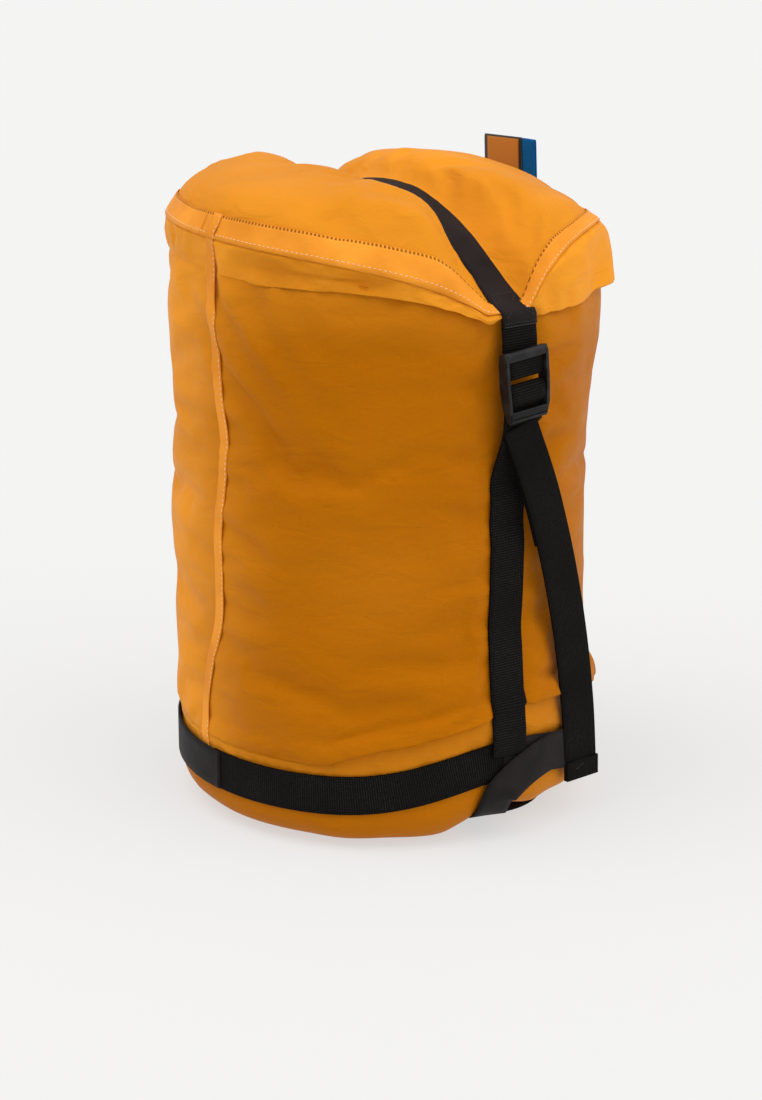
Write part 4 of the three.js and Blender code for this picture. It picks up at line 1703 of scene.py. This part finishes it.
@dataclass
class SideSeam:
    """The covered seam up the sack's side, with one row of stitches."""

    shape: SackShape
    surface: Surface
    start: Vector
    end: Vector
    width: float = 8.0
    stand: float = 0.7
    least_stand: float = 0.35
    over_strip: float = 0.9
    stitch_at: float = 2.9
    stitch_lift: float = 0.35
    steps: int = 68
    over_rim: tuple[float, ...] = (0.995, 0.965, 0.94)

    def angle(self, height: float) -> float:
        """Where the seam runs at a height: it wanders a little."""
        drift = 8.0 * (1 - ease(height, 50, 190)) - 1.8 * bump(height, 232, 30) - 1.2 * bump(height, 120, 18)
        return -176.2 - drift + 0.8 * math.sin(height / 19)

    def line(self, aside: float) -> list[Vector]:
        """The seam's line, from the webbing hem to the inner edge of the rim strip.

        Args:
            aside: How far beside the seam's middle, in millimetres.

        Returns:
            The points of the line, in metres.
        """
        points = []
        low = self.shape.ring_top(180) - 3
        for step in range(self.steps + 1):
            share = step / self.steps
            height = mix(low, self.shape.rim_height(180) - 1.5, share)
            angle = self.angle(height) - math.degrees(aside / self.shape.body)
            stops = self.shape.wall_line(column_angle(angle, WALL_COLUMNS))
            levels = [level for _, level in stops]
            radius = float(np.interp(height, levels, [out for out, _ in stops]))
            points.append(ring_point(angle, radius, height))
        rim = self.angle(self.shape.rim)
        for out in self.over_rim:
            top = self.shape.crown_point(out, rim - math.degrees(aside / self.shape.body))
            points.append(top + Vector((0, 0, 0.6 * MM)))
        return points

    def place(self) -> list[bpy.types.Object]:
        """Builds the tape and its stitches, which shorten with the sack.

        Returns:
            The tape and the stitches.
        """
        tape = Strip(
            "side_seam_strip",
            self.width * MM,
            0.5 * MM,
            self.resting(0.0),
            self.outward,
            6,
            2.5 * MM,
            lay=self.eased,
        ).build()
        dress(tape, Cloth.TAPE)
        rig.replaces(tape, "side_seam_tape", "upper_seam_tape")
        path = [self.eased(point, self.stitch_lift) for point in self.resting(-self.stitch_at)]
        sewn = stitches("side_seam_stitches", path, self.outward, 3.4 * MM, 2.4 * MM, CREAM_THREAD)
        dress(sewn, Cloth.CREAM)
        for piece in (tape, sewn):
            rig.blend(piece, "base", "top_end", start=self.start, end=self.end)
        return [tape, sewn]

    def laid(self, point: Vector) -> Vector:
        """A point laid on the cloth, and over the rim's strip where the seam crosses it."""
        over = ease(point.z / MM, self.shape.rim_height(180) - 9, self.shape.rim_height(180) - 3)
        return self.surface.onto(point, self.outward(point), self.stand + self.over_strip * over)

    def resting(self, aside: float) -> list[Vector]:
        """The seam's line laid on the cloth at every sixth point, and smooth between."""
        line = self.line(aside)
        wall = line[: self.steps + 1]
        laid = [self.laid(point) for point in (*wall[::6], *line[self.steps + 1 :])]
        return smooth_line(laid, 12)

    def eased(self, point: Vector, more: float = 0.0) -> Vector:
        """A point lifted by more, and moved out only where the cloth would cover it."""
        lifted = point + self.outward(point) * (more * MM)
        return self.surface.clear(lifted, self.outward(point), self.least_stand + more)

    def outward(self, point: Vector) -> Vector:
        """Out of the cloth: level on the wall, and turning up over the rim."""
        up = ease(point.z / MM, self.shape.rim_height(180) - 3, self.shape.rim_height(180) + 4)
        return (radial(point) + Vector((0, 0, 2 * up))).normalized()


# ---- Webbing -------------------------------------------------------------------------------------


@dataclass
class WebbingHem:
    """The webbing round the cap: ribbed at the left of the front, smooth over the rest, and lapped."""

    shape: SackShape
    radius: float = 134.4
    thickness: float = 1.5 * MM
    lap_angle: float = 183.0

    def arc(self, start: float, end: float, radius: float) -> list[Vector]:
        """The webbing's middle line from one angle to another, in metres."""
        count = max(8, round(abs(end - start) / 2))
        middle = self.shape.webbing / 2
        return [
            ring_point(angle, radius, self.shape.ring_bottom(angle) + middle)
            for angle in (mix(start, end, step / count) for step in range(count + 1))
        ]

    def place(self) -> list[bpy.types.Object]:
        """Builds both lengths of webbing and the line of stitches at the lap.

        Returns:
            The pieces.
        """
        width = self.shape.webbing * MM
        ribbed = Strip(
            "hem_webbing_ribbed", width, self.thickness, self.arc(181, 270, self.radius), radial, 6, 3 * MM
        ).build()
        dress(ribbed, Cloth.RING)
        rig.replaces(ribbed, "ring_webbing_ribbed")
        smooth = Strip(
            "hem_band_smooth", width, self.thickness, self.arc(-92, 184, self.radius + 0.9), radial, 6, 3 * MM
        ).build()
        dress(smooth, Cloth.TWILL)
        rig.replaces(smooth, "ring_band_smooth")
        low = self.shape.ring_bottom(self.lap_angle) + 1
        lap = [ring_point(self.lap_angle, self.radius + 2.0, low + step * 2.3) for step in range(11)]
        sewn = dress(stitches("hem_lap_stitches", lap, radial, 2.3 * MM, 1.8 * MM, 0.4 * MM), Cloth.BLACK)
        return [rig.ride(piece, "base") for piece in (ribbed, smooth, sewn)]


@dataclass
class BaseBand:
    """The smooth band that leaves the hem at a strap, dives into the groove and crosses under the cap."""

    shape: SackShape
    cap: Cap
    thickness: float = 1.3 * MM

    def path(self) -> list[Vector]:
        """The band's middle line from the front, under the cap, to the rear."""
        hem = self.shape.ring_bottom(-90) + self.shape.webbing / 2
        under = self.cap.groove(0) - 1.6
        half = [
            ring_point(-66, 138.2, self.shape.ring_bottom(-66) + 14),
            ring_point(-76, 138.3, hem - 3),
            ring_point(-86, 138.2, hem - 9),
            ring_point(-93, 136.8, hem - 21),
            Vector((-9, -127, under + 4)) * MM,
            Vector((-5, -112, under - 0.5)) * MM,
            Vector((-1, -80, under)) * MM,
            Vector((0, -40, under)) * MM,
        ]
        rear = [Vector((-point.x, -point.y, point.z)) for point in reversed(half)]
        return smooth_line([*half, Vector((0, 0, under)) * MM, *rear])

    def outward(self, point: Vector) -> Vector:
        """Out of the cap: level at the hem, and turning down under the cap."""
        down = 1 - ease(point.z / MM, 12, 34)
        return (radial(point) * (1 - down) + Vector((0, 0, -down))).normalized()

    def place(self) -> bpy.types.Object:
        """Builds the band, which rides on the base.

        Returns:
            The band.
        """
        width = self.shape.webbing * MM
        band = Strip("base_band_smooth", width, self.thickness, self.path(), self.outward, 6, 3 * MM).build()
        dress(band, Cloth.TWILL)
        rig.replaces(band, "base_band")
        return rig.ride(band, "base")


@dataclass
class TopBand:
    """The smooth band in the groove over the closed end, sewn down at both ends."""

    shape: SackShape
    stand: float = 1.1
    thickness: float = 1.2 * MM
    low: float = 332.5
    end_radius: float = 139.2
    box_length: float = 22.0

    def half(self, side: Side) -> list[Vector]:
        """The band's middle line from the top down to one end."""
        points = []
        for along in (0.0, 0.15, 0.3, 0.45, 0.6, 0.72, 0.82, 0.9, 0.955):
            out = along * self.shape.rim_radius
            place = side.place(0, out, 0)
            height = self.shape.crown_height(place.x / MM, place.y / MM)
            lean = 0.5 * along * self.stand
            points.append(side.place(0, out + lean, height + self.stand))
        rim = self.shape.rim_height(side.value)
        points.append(side.place(0, self.shape.rim_radius + 1.2, rim + 0.5))
        points.append(side.place(0, self.end_radius, rim - 4))
        points.append(side.place(0, self.end_radius + 0.3, self.low))
        return points

    def outward(self, point: Vector) -> Vector:
        """Out of the closed end: up on top, and level at the ends."""
        along = abs(point.y) / (self.shape.rim_radius * MM)
        level = along**2.2 if point.z / MM > 345 else 1.0
        return Vector((0, math.copysign(level, point.y), max(0.02, 1.15 - level))).normalized()

    def place(self) -> list[bpy.types.Object]:
        """Builds the band and its sewing, which ride with the closed end.

        Returns:
            The band and its rows of stitches.
        """
        front = self.half(Side.FRONT)
        rear = self.half(Side.REAR)
        path = smooth_line([*reversed(rear), *front[1:]])
        width = self.shape.webbing * MM
        band = Strip("top_band_smooth", width, self.thickness, path, self.outward, 8, 3 * MM).build()
        dress(band, Cloth.TWILL)
        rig.replaces(band, "top_band")
        pieces = [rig.ride(band, "top_end")]
        for side, half in ((Side.FRONT, front), (Side.REAR, rear)):
            pieces += self.sew_end(side, even_line(smooth_line(half), 1 * MM))
        return pieces

    def sew_end(self, side: Side, line: list[Vector]) -> list[bpy.types.Object]:
        """Sews one end of the band down with a crossed box and a double row.

        Args:
            side: Which end.
            line: The band's middle line, a point every millimetre.

        Returns:
            The rows of stitches.
        """
        right = side.place(1000, 0, 0)
        half = 9.5 * MM
        lift = self.thickness * 0.75

        def spot(back: float, aside: float) -> Vector:
            """A point on the band, so far back from its end and to the right."""
            index = max(0, len(line) - 1 - round(back))
            point = line[index]
            return point + right * aside + self.outward(point) * lift

        low, high = 5, 5 + round(self.box_length)
        loops = [
            [spot(low + step, -half) for step in range(high - low + 1)],
            [spot(low + step, half) for step in range(high - low + 1)],
            [spot(high, mix(-half, half, step / 8)) for step in range(9)],
            [spot(low + step, mix(-half, half, step / (high - low))) for step in range(high - low + 1)],
            [spot(low + step, mix(half, -half, step / (high - low))) for step in range(high - low + 1)],
        ]
        made = []
        for number, path in enumerate(loops):
            name = f"{side.word}_box_stitch_{number}"
            row = stitches(name, path, self.outward, 2.2 * MM, 1.6 * MM, 0.36 * MM)
            made.append(dress(row, Cloth.BLACK))
        for number, back in enumerate((0.4, 2.0)):
            path = [spot(back, mix(-12 * MM, 12 * MM, step / 8)) for step in range(9)]
            name = f"{side.word}_end_stitch_{number}"
            row = stitches(name, path, self.outward, 1.9 * MM, 1.4 * MM, 0.38 * MM)
            made.append(dress(row, Cloth.GREY if number == 0 else Cloth.BLACK))
        LOG.info("sewed the %s end of the top band", side.word)
        return [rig.ride(row, "top_end") for row in made]


# ---- Straps and locks ----------------------------------------------------------------------------


@dataclass
class CompressionStrap:
    """One compression strap: rise, ladder lock, upper webbing, threaded strap and hanging tail."""

    side: Side
    shape: SackShape
    surface: Surface
    start: Vector
    end: Vector
    width: float = 25.0
    thickness: float = 1.4 * MM
    strap_stand: float = 1.1
    pivot: float = 316.0
    lean: float = 5.0
    lock_half: float = 16.0
    lock_wall: float = 2.2
    lock_taper: float = 2.0
    lock_top: float = 319.2
    lock_front: float = 147.4
    tail_radius: float = 143.2
    tail_reach: float = 64.0
    tail_low: float = 25.0
    tail_high: float = 268.0
    hem_length: float = 13.0

    def leaning(self, aside: float, radius: float, height: float) -> Vector:
        """A point of the lock, which leans a little about its top bar, in metres."""
        turn = math.radians(self.lean)
        below = height - self.pivot
        return self.side.place(
            aside * math.cos(turn) - below * math.sin(turn),
            radius,
            self.pivot + aside * math.sin(turn) + below * math.cos(turn),
        )

    def clear(self, point: Vector) -> Vector:
        """A point of the strap, moved out where the cloth would cover it."""
        return self.surface.clear(point, radial(point), self.strap_stand)

    def strip(
        self,
        name: str,
        points: Sequence[Vector],
        cloth: Cloth,
        folded: bool = False,
        step: float = 2.0,
        lay: Callable[[Vector], Vector] | None = None,
    ) -> bpy.types.Object:
        """Builds a length of the strap's webbing.

        Args:
            name: The piece's name after the side's.
            points: The points of its middle line.
            cloth: Its finish.
            folded: Whether it folds back on itself.
            step: From one row of its mesh to the next, in millimetres.
            lay: How its points are laid on the cloth, if they are.

        Returns:
            The dressed strip.
        """
        made = Strip(
            f"{self.side.word}_{name}",
            self.width * MM,
            self.thickness,
            smooth_line(points, 10),
            self.side.outward,
            6,
            step * MM,
            0.12 * MM,
            folded,
            lay,
        ).build()
        return dress(made, cloth)

    def rise(self) -> bpy.types.Object:
        """The strap from the hem up to the lock, which shortens with the sack."""
        points = [self.side.place(-2, 136.9, 57), self.side.place(-1.5, 137.0, 70)]
        for height in range(82, 250, 14):
            points.append(self.side.place(-1, self.shape.strap_radius(self.side, height), height))
        points = [self.clear(point) for point in points]
        points.append(self.side.place(1.5, 138.6, 264))
        points.append(self.side.place(2.6, 138.9, 284))
        piece = self.strip("strap_rise_webbing", points, Cloth.WEBBING, lay=self.clear)
        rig.replaces(piece, f"{self.side.word}_strap_rise")
        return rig.blend(piece, "base", "top_end", start=self.start, end=self.end)

    def upper(self) -> bpy.types.Object:
        """The webbing from the band's end down behind the lock's top bar."""
        points = [
            self.side.place(0, 138.0, 338),
            self.side.place(0, 138.6, 331),
            self.side.place(0, 139.6, 323),
            self.side.place(0, 139.6, 316.8),
        ]
        piece = self.strip("upper_webbing_length", points, Cloth.WEBBING)
        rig.replaces(piece, f"{self.side.word}_upper_webbing")
        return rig.ride(piece, "top_end")

    def fold(self) -> bpy.types.Object:
        """The webbing's fold round the lock's second bar."""
        points = [self.leaning(0, 140.7, 317), self.leaning(0, 140.6, 306)]
        for turn in (200, 235, 270, 305, 340):
            angle = math.radians(turn)
            points.append(self.leaning(0, 142.5 + 1.9 * math.cos(angle), 303.6 + 1.9 * math.sin(angle)))
        points += [self.leaning(0, 144.5, 306), self.leaning(0, 144.9, 314)]
        piece = self.strip("webbing_fold", points, Cloth.WEBBING, True, 0.8)
        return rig.ride(piece, f"{self.side.word}_lock")

    def thread(self) -> bpy.types.Object:
        """The strap through the lock: up behind, over the middle bar and back behind the lip."""
        route = (
            (138.8, 270),
            (138.9, 284),
            (139.9, 293),
            (142.0, 297.4),
            (144.9, 296.9),
            (146.3, 292.5),
            (145.9, 287.4),
            (143.2, 284.4),
            (141.2, 280),
            (140.9, 272),
        )
        points = [self.leaning(0, radius, height) for radius, height in route]
        piece = self.strip("strap_through_lock", points, Cloth.WEBBING, True, 0.8)
        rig.replaces(piece, f"{self.side.word}_strap_thread")
        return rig.ride(piece, f"{self.side.word}_lock")

    def tail_point(self, height: float, behind: float = 0.0) -> Vector:
        """A point of the hanging tail's middle line at a height, so far behind it, in metres."""
        fall = max(0.0, (height - self.tail_low) / (self.tail_high - self.tail_low))
        reach = 1 + self.tail_reach * (1 - fall**1.5)
        radius = mix(self.tail_radius, 141.2, ease(height, self.tail_high - 40, self.tail_high)) - behind
        turn = reach / self.tail_radius
        return self.side.place(radius * math.sin(turn), radius * math.cos(turn), height)

    def tail(self) -> list[bpy.types.Object]:
        """The hanging tail with its folded hem, and the length that follows it out of the lock.

        Returns:
            The length behind it, the tail, its hem and the hem's stitches.
        """
        word = self.side.word
        heights = [self.tail_high + 3.5, self.tail_high - 10, *range(245, 45, -20), 34, self.tail_low + 2]
        points = [self.tail_point(height) for height in heights]
        end = self.tail_point(self.tail_low)
        back = (points[-2] - end).normalized()
        out = radial(end)
        hanging = self.strip("strap_tail_webbing", [*points, end], Cloth.TAIL)
        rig.replaces(hanging, f"{word}_strap_tail")
        over = out * (self.thickness + 0.1 * MM)
        turned = [end + over + back * (self.hem_length * share * MM) for share in (0.0, 0.35, 0.7, 1.0)]
        hem = self.strip("tail_hem_webbing", turned, Cloth.TAIL)
        right = back.cross(out).normalized()
        sewn_at = end + over + out * (0.9 * MM) + back * (self.hem_length - 3) * MM
        row = [sewn_at + right * (step * 2.2 - 11) * MM for step in range(11)]
        sewn = stitches(f"{word}_tail_stitches", row, radial, 2.2 * MM, 1.6 * MM, 0.36 * MM)
        dress(sewn, Cloth.BLACK)
        behind = [self.tail_point(height, 1.9) for height in (self.tail_high + 2, *range(255, 180, -15))]
        root = self.strip("tail_root_webbing", behind, Cloth.TAIL)
        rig.replaces(root, f"{word}_tail_root")
        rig.ride(root, f"{word}_tail_swing")
        return [root, *(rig.ride(piece, f"{word}_tail") for piece in (hanging, hem, sewn))]

    def bar(self, bm: bmesh.types.BMesh, profile: Outline, left: float, right: float) -> None:
        """Adds one straight part of the lock.

        Args:
            bm: The lock's bmesh.
            profile: The radius and height of its outline's corners.
            left: Where it starts, beside the strap's middle.
            right: Where it ends.
        """
        corners = [bm.verts.new(self.leaning(left, radius, height)) for radius, height in profile]
        face = bm.faces.new(corners)
        grown = bmesh.ops.extrude_face_region(bm, geom=[face])["geom"]
        far = [item for item in grown if isinstance(item, bmesh.types.BMVert)]
        move = self.leaning(right, 0, self.pivot) - self.leaning(left, 0, self.pivot)
        bmesh.ops.translate(bm, verts=far, vec=move)

    def wall(self, bm: bmesh.types.BMesh, sign: int) -> None:
        """Adds one side of the lock's frame, drawn in at its lower end.

        Args:
            bm: The lock's bmesh.
            sign: 1 for the right side, -1 for the left.
        """
        front = self.lock_front
        outline = (
            (140.2, self.lock_top - 1.2),
            (front - 1.6, self.lock_top),
            (front, 316),
            (front, 300),
            (front - 0.4, 284),
            (front - 2.0, 276),
            (144.0, 274.3),
            (141.4, 275.5),
            (139.2, 283),
            (138.4, 298),
            (139.2, 313),
        )
        before = len(bm.verts)
        outer = sign * self.lock_half
        self.bar(bm, outline, outer, outer - sign * self.lock_wall)
        bm.verts.ensure_lookup_table()
        right = self.side.place(1, 0, 0) / MM
        for vert in bm.verts[before:]:
            taper = 1 - ease(vert.co.z / MM, 272, 292)
            vert.co -= right * (sign * self.lock_taper * taper * MM)

    def lock(self) -> bpy.types.Object:
        """The ladder lock: two deep sides, a broad top bar, two inner bars and the slanted lip."""
        front = self.lock_front
        bm = bmesh.new()
        for sign in (1, -1):
            self.wall(bm, sign)
        inner = self.lock_half - self.lock_wall + 0.8
        self.bar(
            bm,
            (
                (front - 5.2, 313.6),
                (front - 0.9, 313.2),
                (front, 314.4),
                (front, 317.6),
                (front - 1.4, 319.2),
                (front - 4.4, 319.0),
                (front - 5.4, 317.2),
            ),
            -inner,
            inner,
        )
        self.bar(bm, ((141.6, 302.8), (143.4, 302.8), (143.4, 304.6), (141.6, 304.6)), -inner, inner)
        middle_bar = ((141.3, 288.6), (144.4, 288.2), (144.9, 292.6), (143.6, 295.8), (141.4, 295.4))
        self.bar(bm, middle_bar, -inner, inner)
        self.bar(
            bm,
            (
                (143.0, 281.4),
                (146.6, 282.0),
                (front - 0.3, 279.4),
                (front - 1.5, 275.2),
                (143.6, 274.2),
                (142.3, 275.6),
            ),
            -inner + self.lock_taper / 2,
            inner - self.lock_taper / 2,
        )
        for step in range(3):
            high = 281.0 - step * 1.7
            ridge = (
                (front - 0.9, high),
                (front + 0.05, high - 0.4),
                (front - 0.2, high - 1.0),
                (front - 0.9, high - 1.1),
            )
            self.bar(bm, ridge, -inner + 1.6, inner - 1.6)
        bmesh.ops.recalc_face_normals(bm, faces=bm.faces[:])
        lock = object_from(bm, f"{self.side.word}_lock_body")
        round_edges(lock, 0.7 * MM, 3)
        lock.modifiers["Rounding"].harden_normals = True
        dress(lock, Cloth.PLASTIC)
        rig.replaces(lock, f"{self.side.word}_ladder_lock")
        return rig.ride(lock, f"{self.side.word}_lock")

    def place(self) -> list[bpy.types.Object]:
        """Builds the whole strap.

        Returns:
            Its pieces.
        """
        return [self.rise(), self.upper(), self.fold(), self.thread(), self.lock(), *self.tail()]


@dataclass
class CarryHandle:
    """The slack webbing handle that lies on the floor in the groove under the cap."""

    width: float = 16.0 * MM
    thickness: float = 1.4 * MM
    height: float = 1.4

    def place(self) -> bpy.types.Object:
        """Builds the handle and lets it ride on its own body.

        Returns:
            The handle.
        """
        spots = (
            (-27, -47, 1.2),
            (-25, -62, 0.3),
            (-12, -78, 0.0),
            (10, -89, 1.6),
            (34, -92, 0.3),
            (54, -84, 0.3),
            (64, -68, 2.6),
            (60, -52, 6.0),
        )
        points = [Vector((x, y, self.height + lift)) * MM for x, y, lift in spots]
        strap = Strip(
            "carry_handle_webbing",
            self.width,
            self.thickness,
            smooth_line(points),
            lambda point: Vector((0, -0.25, 1)),
            6,
            2 * MM,
            0.1 * MM,
        ).build()
        dress(strap, Cloth.WEBBING)
        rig.replaces(strap, "carry_handle")
        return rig.ride(strap, "handle")


@dataclass
class FoldedTag:
    """A short strip folded over and sewn into the rim seam, standing up."""

    name: str
    node: str
    body: str
    cloth: Cloth
    angle: float
    width: float
    low: float = 382.0
    high: float = 408.4
    radius: float = 136.0
    fold: float = 1.0
    thickness: float = 0.8

    def place(self) -> bpy.types.Object:
        """Builds the tag and lets it ride on its body.

        Returns:
            The tag.
        """
        out = self.fold + self.thickness
        middle = mix(self.low, self.high, 0.5)
        spots = [(self.radius + 1.2, self.low), (self.radius + 0.5, middle)]
        spots += [(self.radius, self.high - out), (self.radius + out / 2, self.high - 0.5)]
        spots += [(self.radius + out, self.high - out), (self.radius + out + 0.7, middle)]
        spots.append((self.radius + out + 1.4, self.low))
        points = [ring_point(self.angle, radius, height) for radius, height in spots]
        tag = Strip(
            self.name,
            self.width * MM,
            self.thickness * MM,
            smooth_line(points, 10),
            lambda point: -radial(point),
            6,
            0.5 * MM,
            0.0,
            True,
        ).build()
        dress(tag, self.cloth)
        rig.replaces(tag, self.node)
        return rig.ride(tag, self.body)


# ---- Studio --------------------------------------------------------------------------------------


@dataclass
class Studio:
    """The camera, the pale floor and the soft light."""

    azimuth: float = -35.5
    elevation: float = 17.5
    distance: float = 1.95
    lens: float = 98.0
    aim: Vector = field(default_factory=lambda: Vector((0, 0, 0.156)))
    aside: float = 0.002
    sensor: float = 36.0
    clip: tuple[float, float] = (0.05, 200.0)
    floor_size: float = 60.0
    surround: float = 0.62

    def back(self, azimuth: float, elevation: float) -> Vector:
        """The direction from the object to a viewer at an azimuth and elevation in degrees."""
        turn, rise = math.radians(azimuth), math.radians(elevation)
        return Vector((math.sin(turn) * math.cos(rise), -math.cos(turn) * math.cos(rise), math.sin(rise)))

    def camera(self) -> None:
        """Places the camera and makes it the scene's."""
        data = bpy.data.cameras.new("camera")
        data.lens = self.lens
        data.sensor_width = self.sensor
        data.clip_start, data.clip_end = self.clip
        camera = bpy.data.objects.new("camera", data)
        bpy.context.scene.collection.objects.link(camera)
        back = self.back(self.azimuth, self.elevation)
        right = Vector((-back.y, back.x, 0)).normalized()
        camera.location = self.aim + back * self.distance - right * self.aside
        camera.rotation_mode = "QUATERNION"
        camera.rotation_quaternion = (-back).to_track_quat("-Z", "Y")
        bpy.context.scene.camera = camera

    def floor(self) -> None:
        """Lays the floor."""
        bm = bmesh.new()
        bmesh.ops.create_grid(bm, x_segments=4, y_segments=4, size=self.floor_size)
        floor = object_from(bm, "studio_floor")
        floor.data.materials.append(FloorFinish().make())
        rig.stage(floor)

    def sun(self, name: str, azimuth: float, elevation: float, strength: float, spread: float) -> None:
        """Adds a broad soft light.

        Args:
            name: The light's name.
            azimuth: Where it stands, as for the camera.
            elevation: How high it stands.
            strength: Its strength.
            spread: Its apparent size in degrees.
        """
        data = bpy.data.lights.new(name, "SUN")
        data.energy = strength
        data.angle = math.radians(spread)
        light = bpy.data.objects.new(name, data)
        light.rotation_mode = "QUATERNION"
        light.rotation_quaternion = self.back(azimuth, elevation).to_track_quat("Z", "Y")
        bpy.context.scene.collection.objects.link(light)

    def light(self) -> None:
        """Sets the even surrounding light and the broad lights from above."""
        world = bpy.data.worlds.new("studio")
        world.use_nodes = True
        background = next(node for node in world.node_tree.nodes if node.type == "BACKGROUND")
        background.inputs["Color"].default_value = (1.0, 1.0, 1.0, 1)
        background.inputs["Strength"].default_value = self.surround
        bpy.context.scene.world = world
        self.sun("key", -110, 58, 1.15, 50)
        self.sun("top", 20, 72, 0.75, 60)
        self.sun("fill", 30, 28, 0.80, 70)
        bpy.context.scene.view_settings.view_transform = "Standard"

    def place(self) -> None:
        """Sets up the whole studio."""
        self.camera()
        self.floor()
        self.light()


# ---- The whole -----------------------------------------------------------------------------------


def main() -> None:
    """Builds every sub-assembly in order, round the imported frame."""
    logging.basicConfig(level=logging.INFO, format="%(name)s: %(message)s")
    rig.load()
    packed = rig.bounds()
    Studio().place()
    shape = SackShape()
    sack = SackFabric(shape)
    fabric = sack.place()
    surface = Surface.of(fabric)
    cap = Cap(shape)
    blend_from, blend_to = sack.start, sack.end
    assemblies = [
        cap,
        MouthHem(),
        RimSeam(shape, surface),
        SideSeam(shape, surface, blend_from, blend_to),
        WebbingHem(shape),
        BaseBand(shape, cap),
        TopBand(shape),
        CompressionStrap(Side.FRONT, shape, surface, blend_from, blend_to),
        CompressionStrap(Side.REAR, shape, surface, blend_from, blend_to),
        CarryHandle(),
        FoldedTag("hang_loop_webbing", "hang_loop", "loop", Cloth.BLUE, 10.3, 10.0),
        FoldedTag("woven_label_tag", "woven_label", "label", Cloth.LABEL, 19.2, 28.6),
    ]
    pieces = [fabric]
    for assembly in assemblies:
        made = assembly.place()
        pieces += made if isinstance(made, list) else [made]
    for piece in pieces:
        LOG.info("%s: %d vertices", piece.name, len(piece.data.vertices))
    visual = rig.bounds()
    with open(SIZE_FILE, "w") as handle:
        json.dump({"cad": [list(corner) for corner in packed], "visual": [list(corner) for corner in visual]}, handle)


if __name__ == "__main__":
    main()
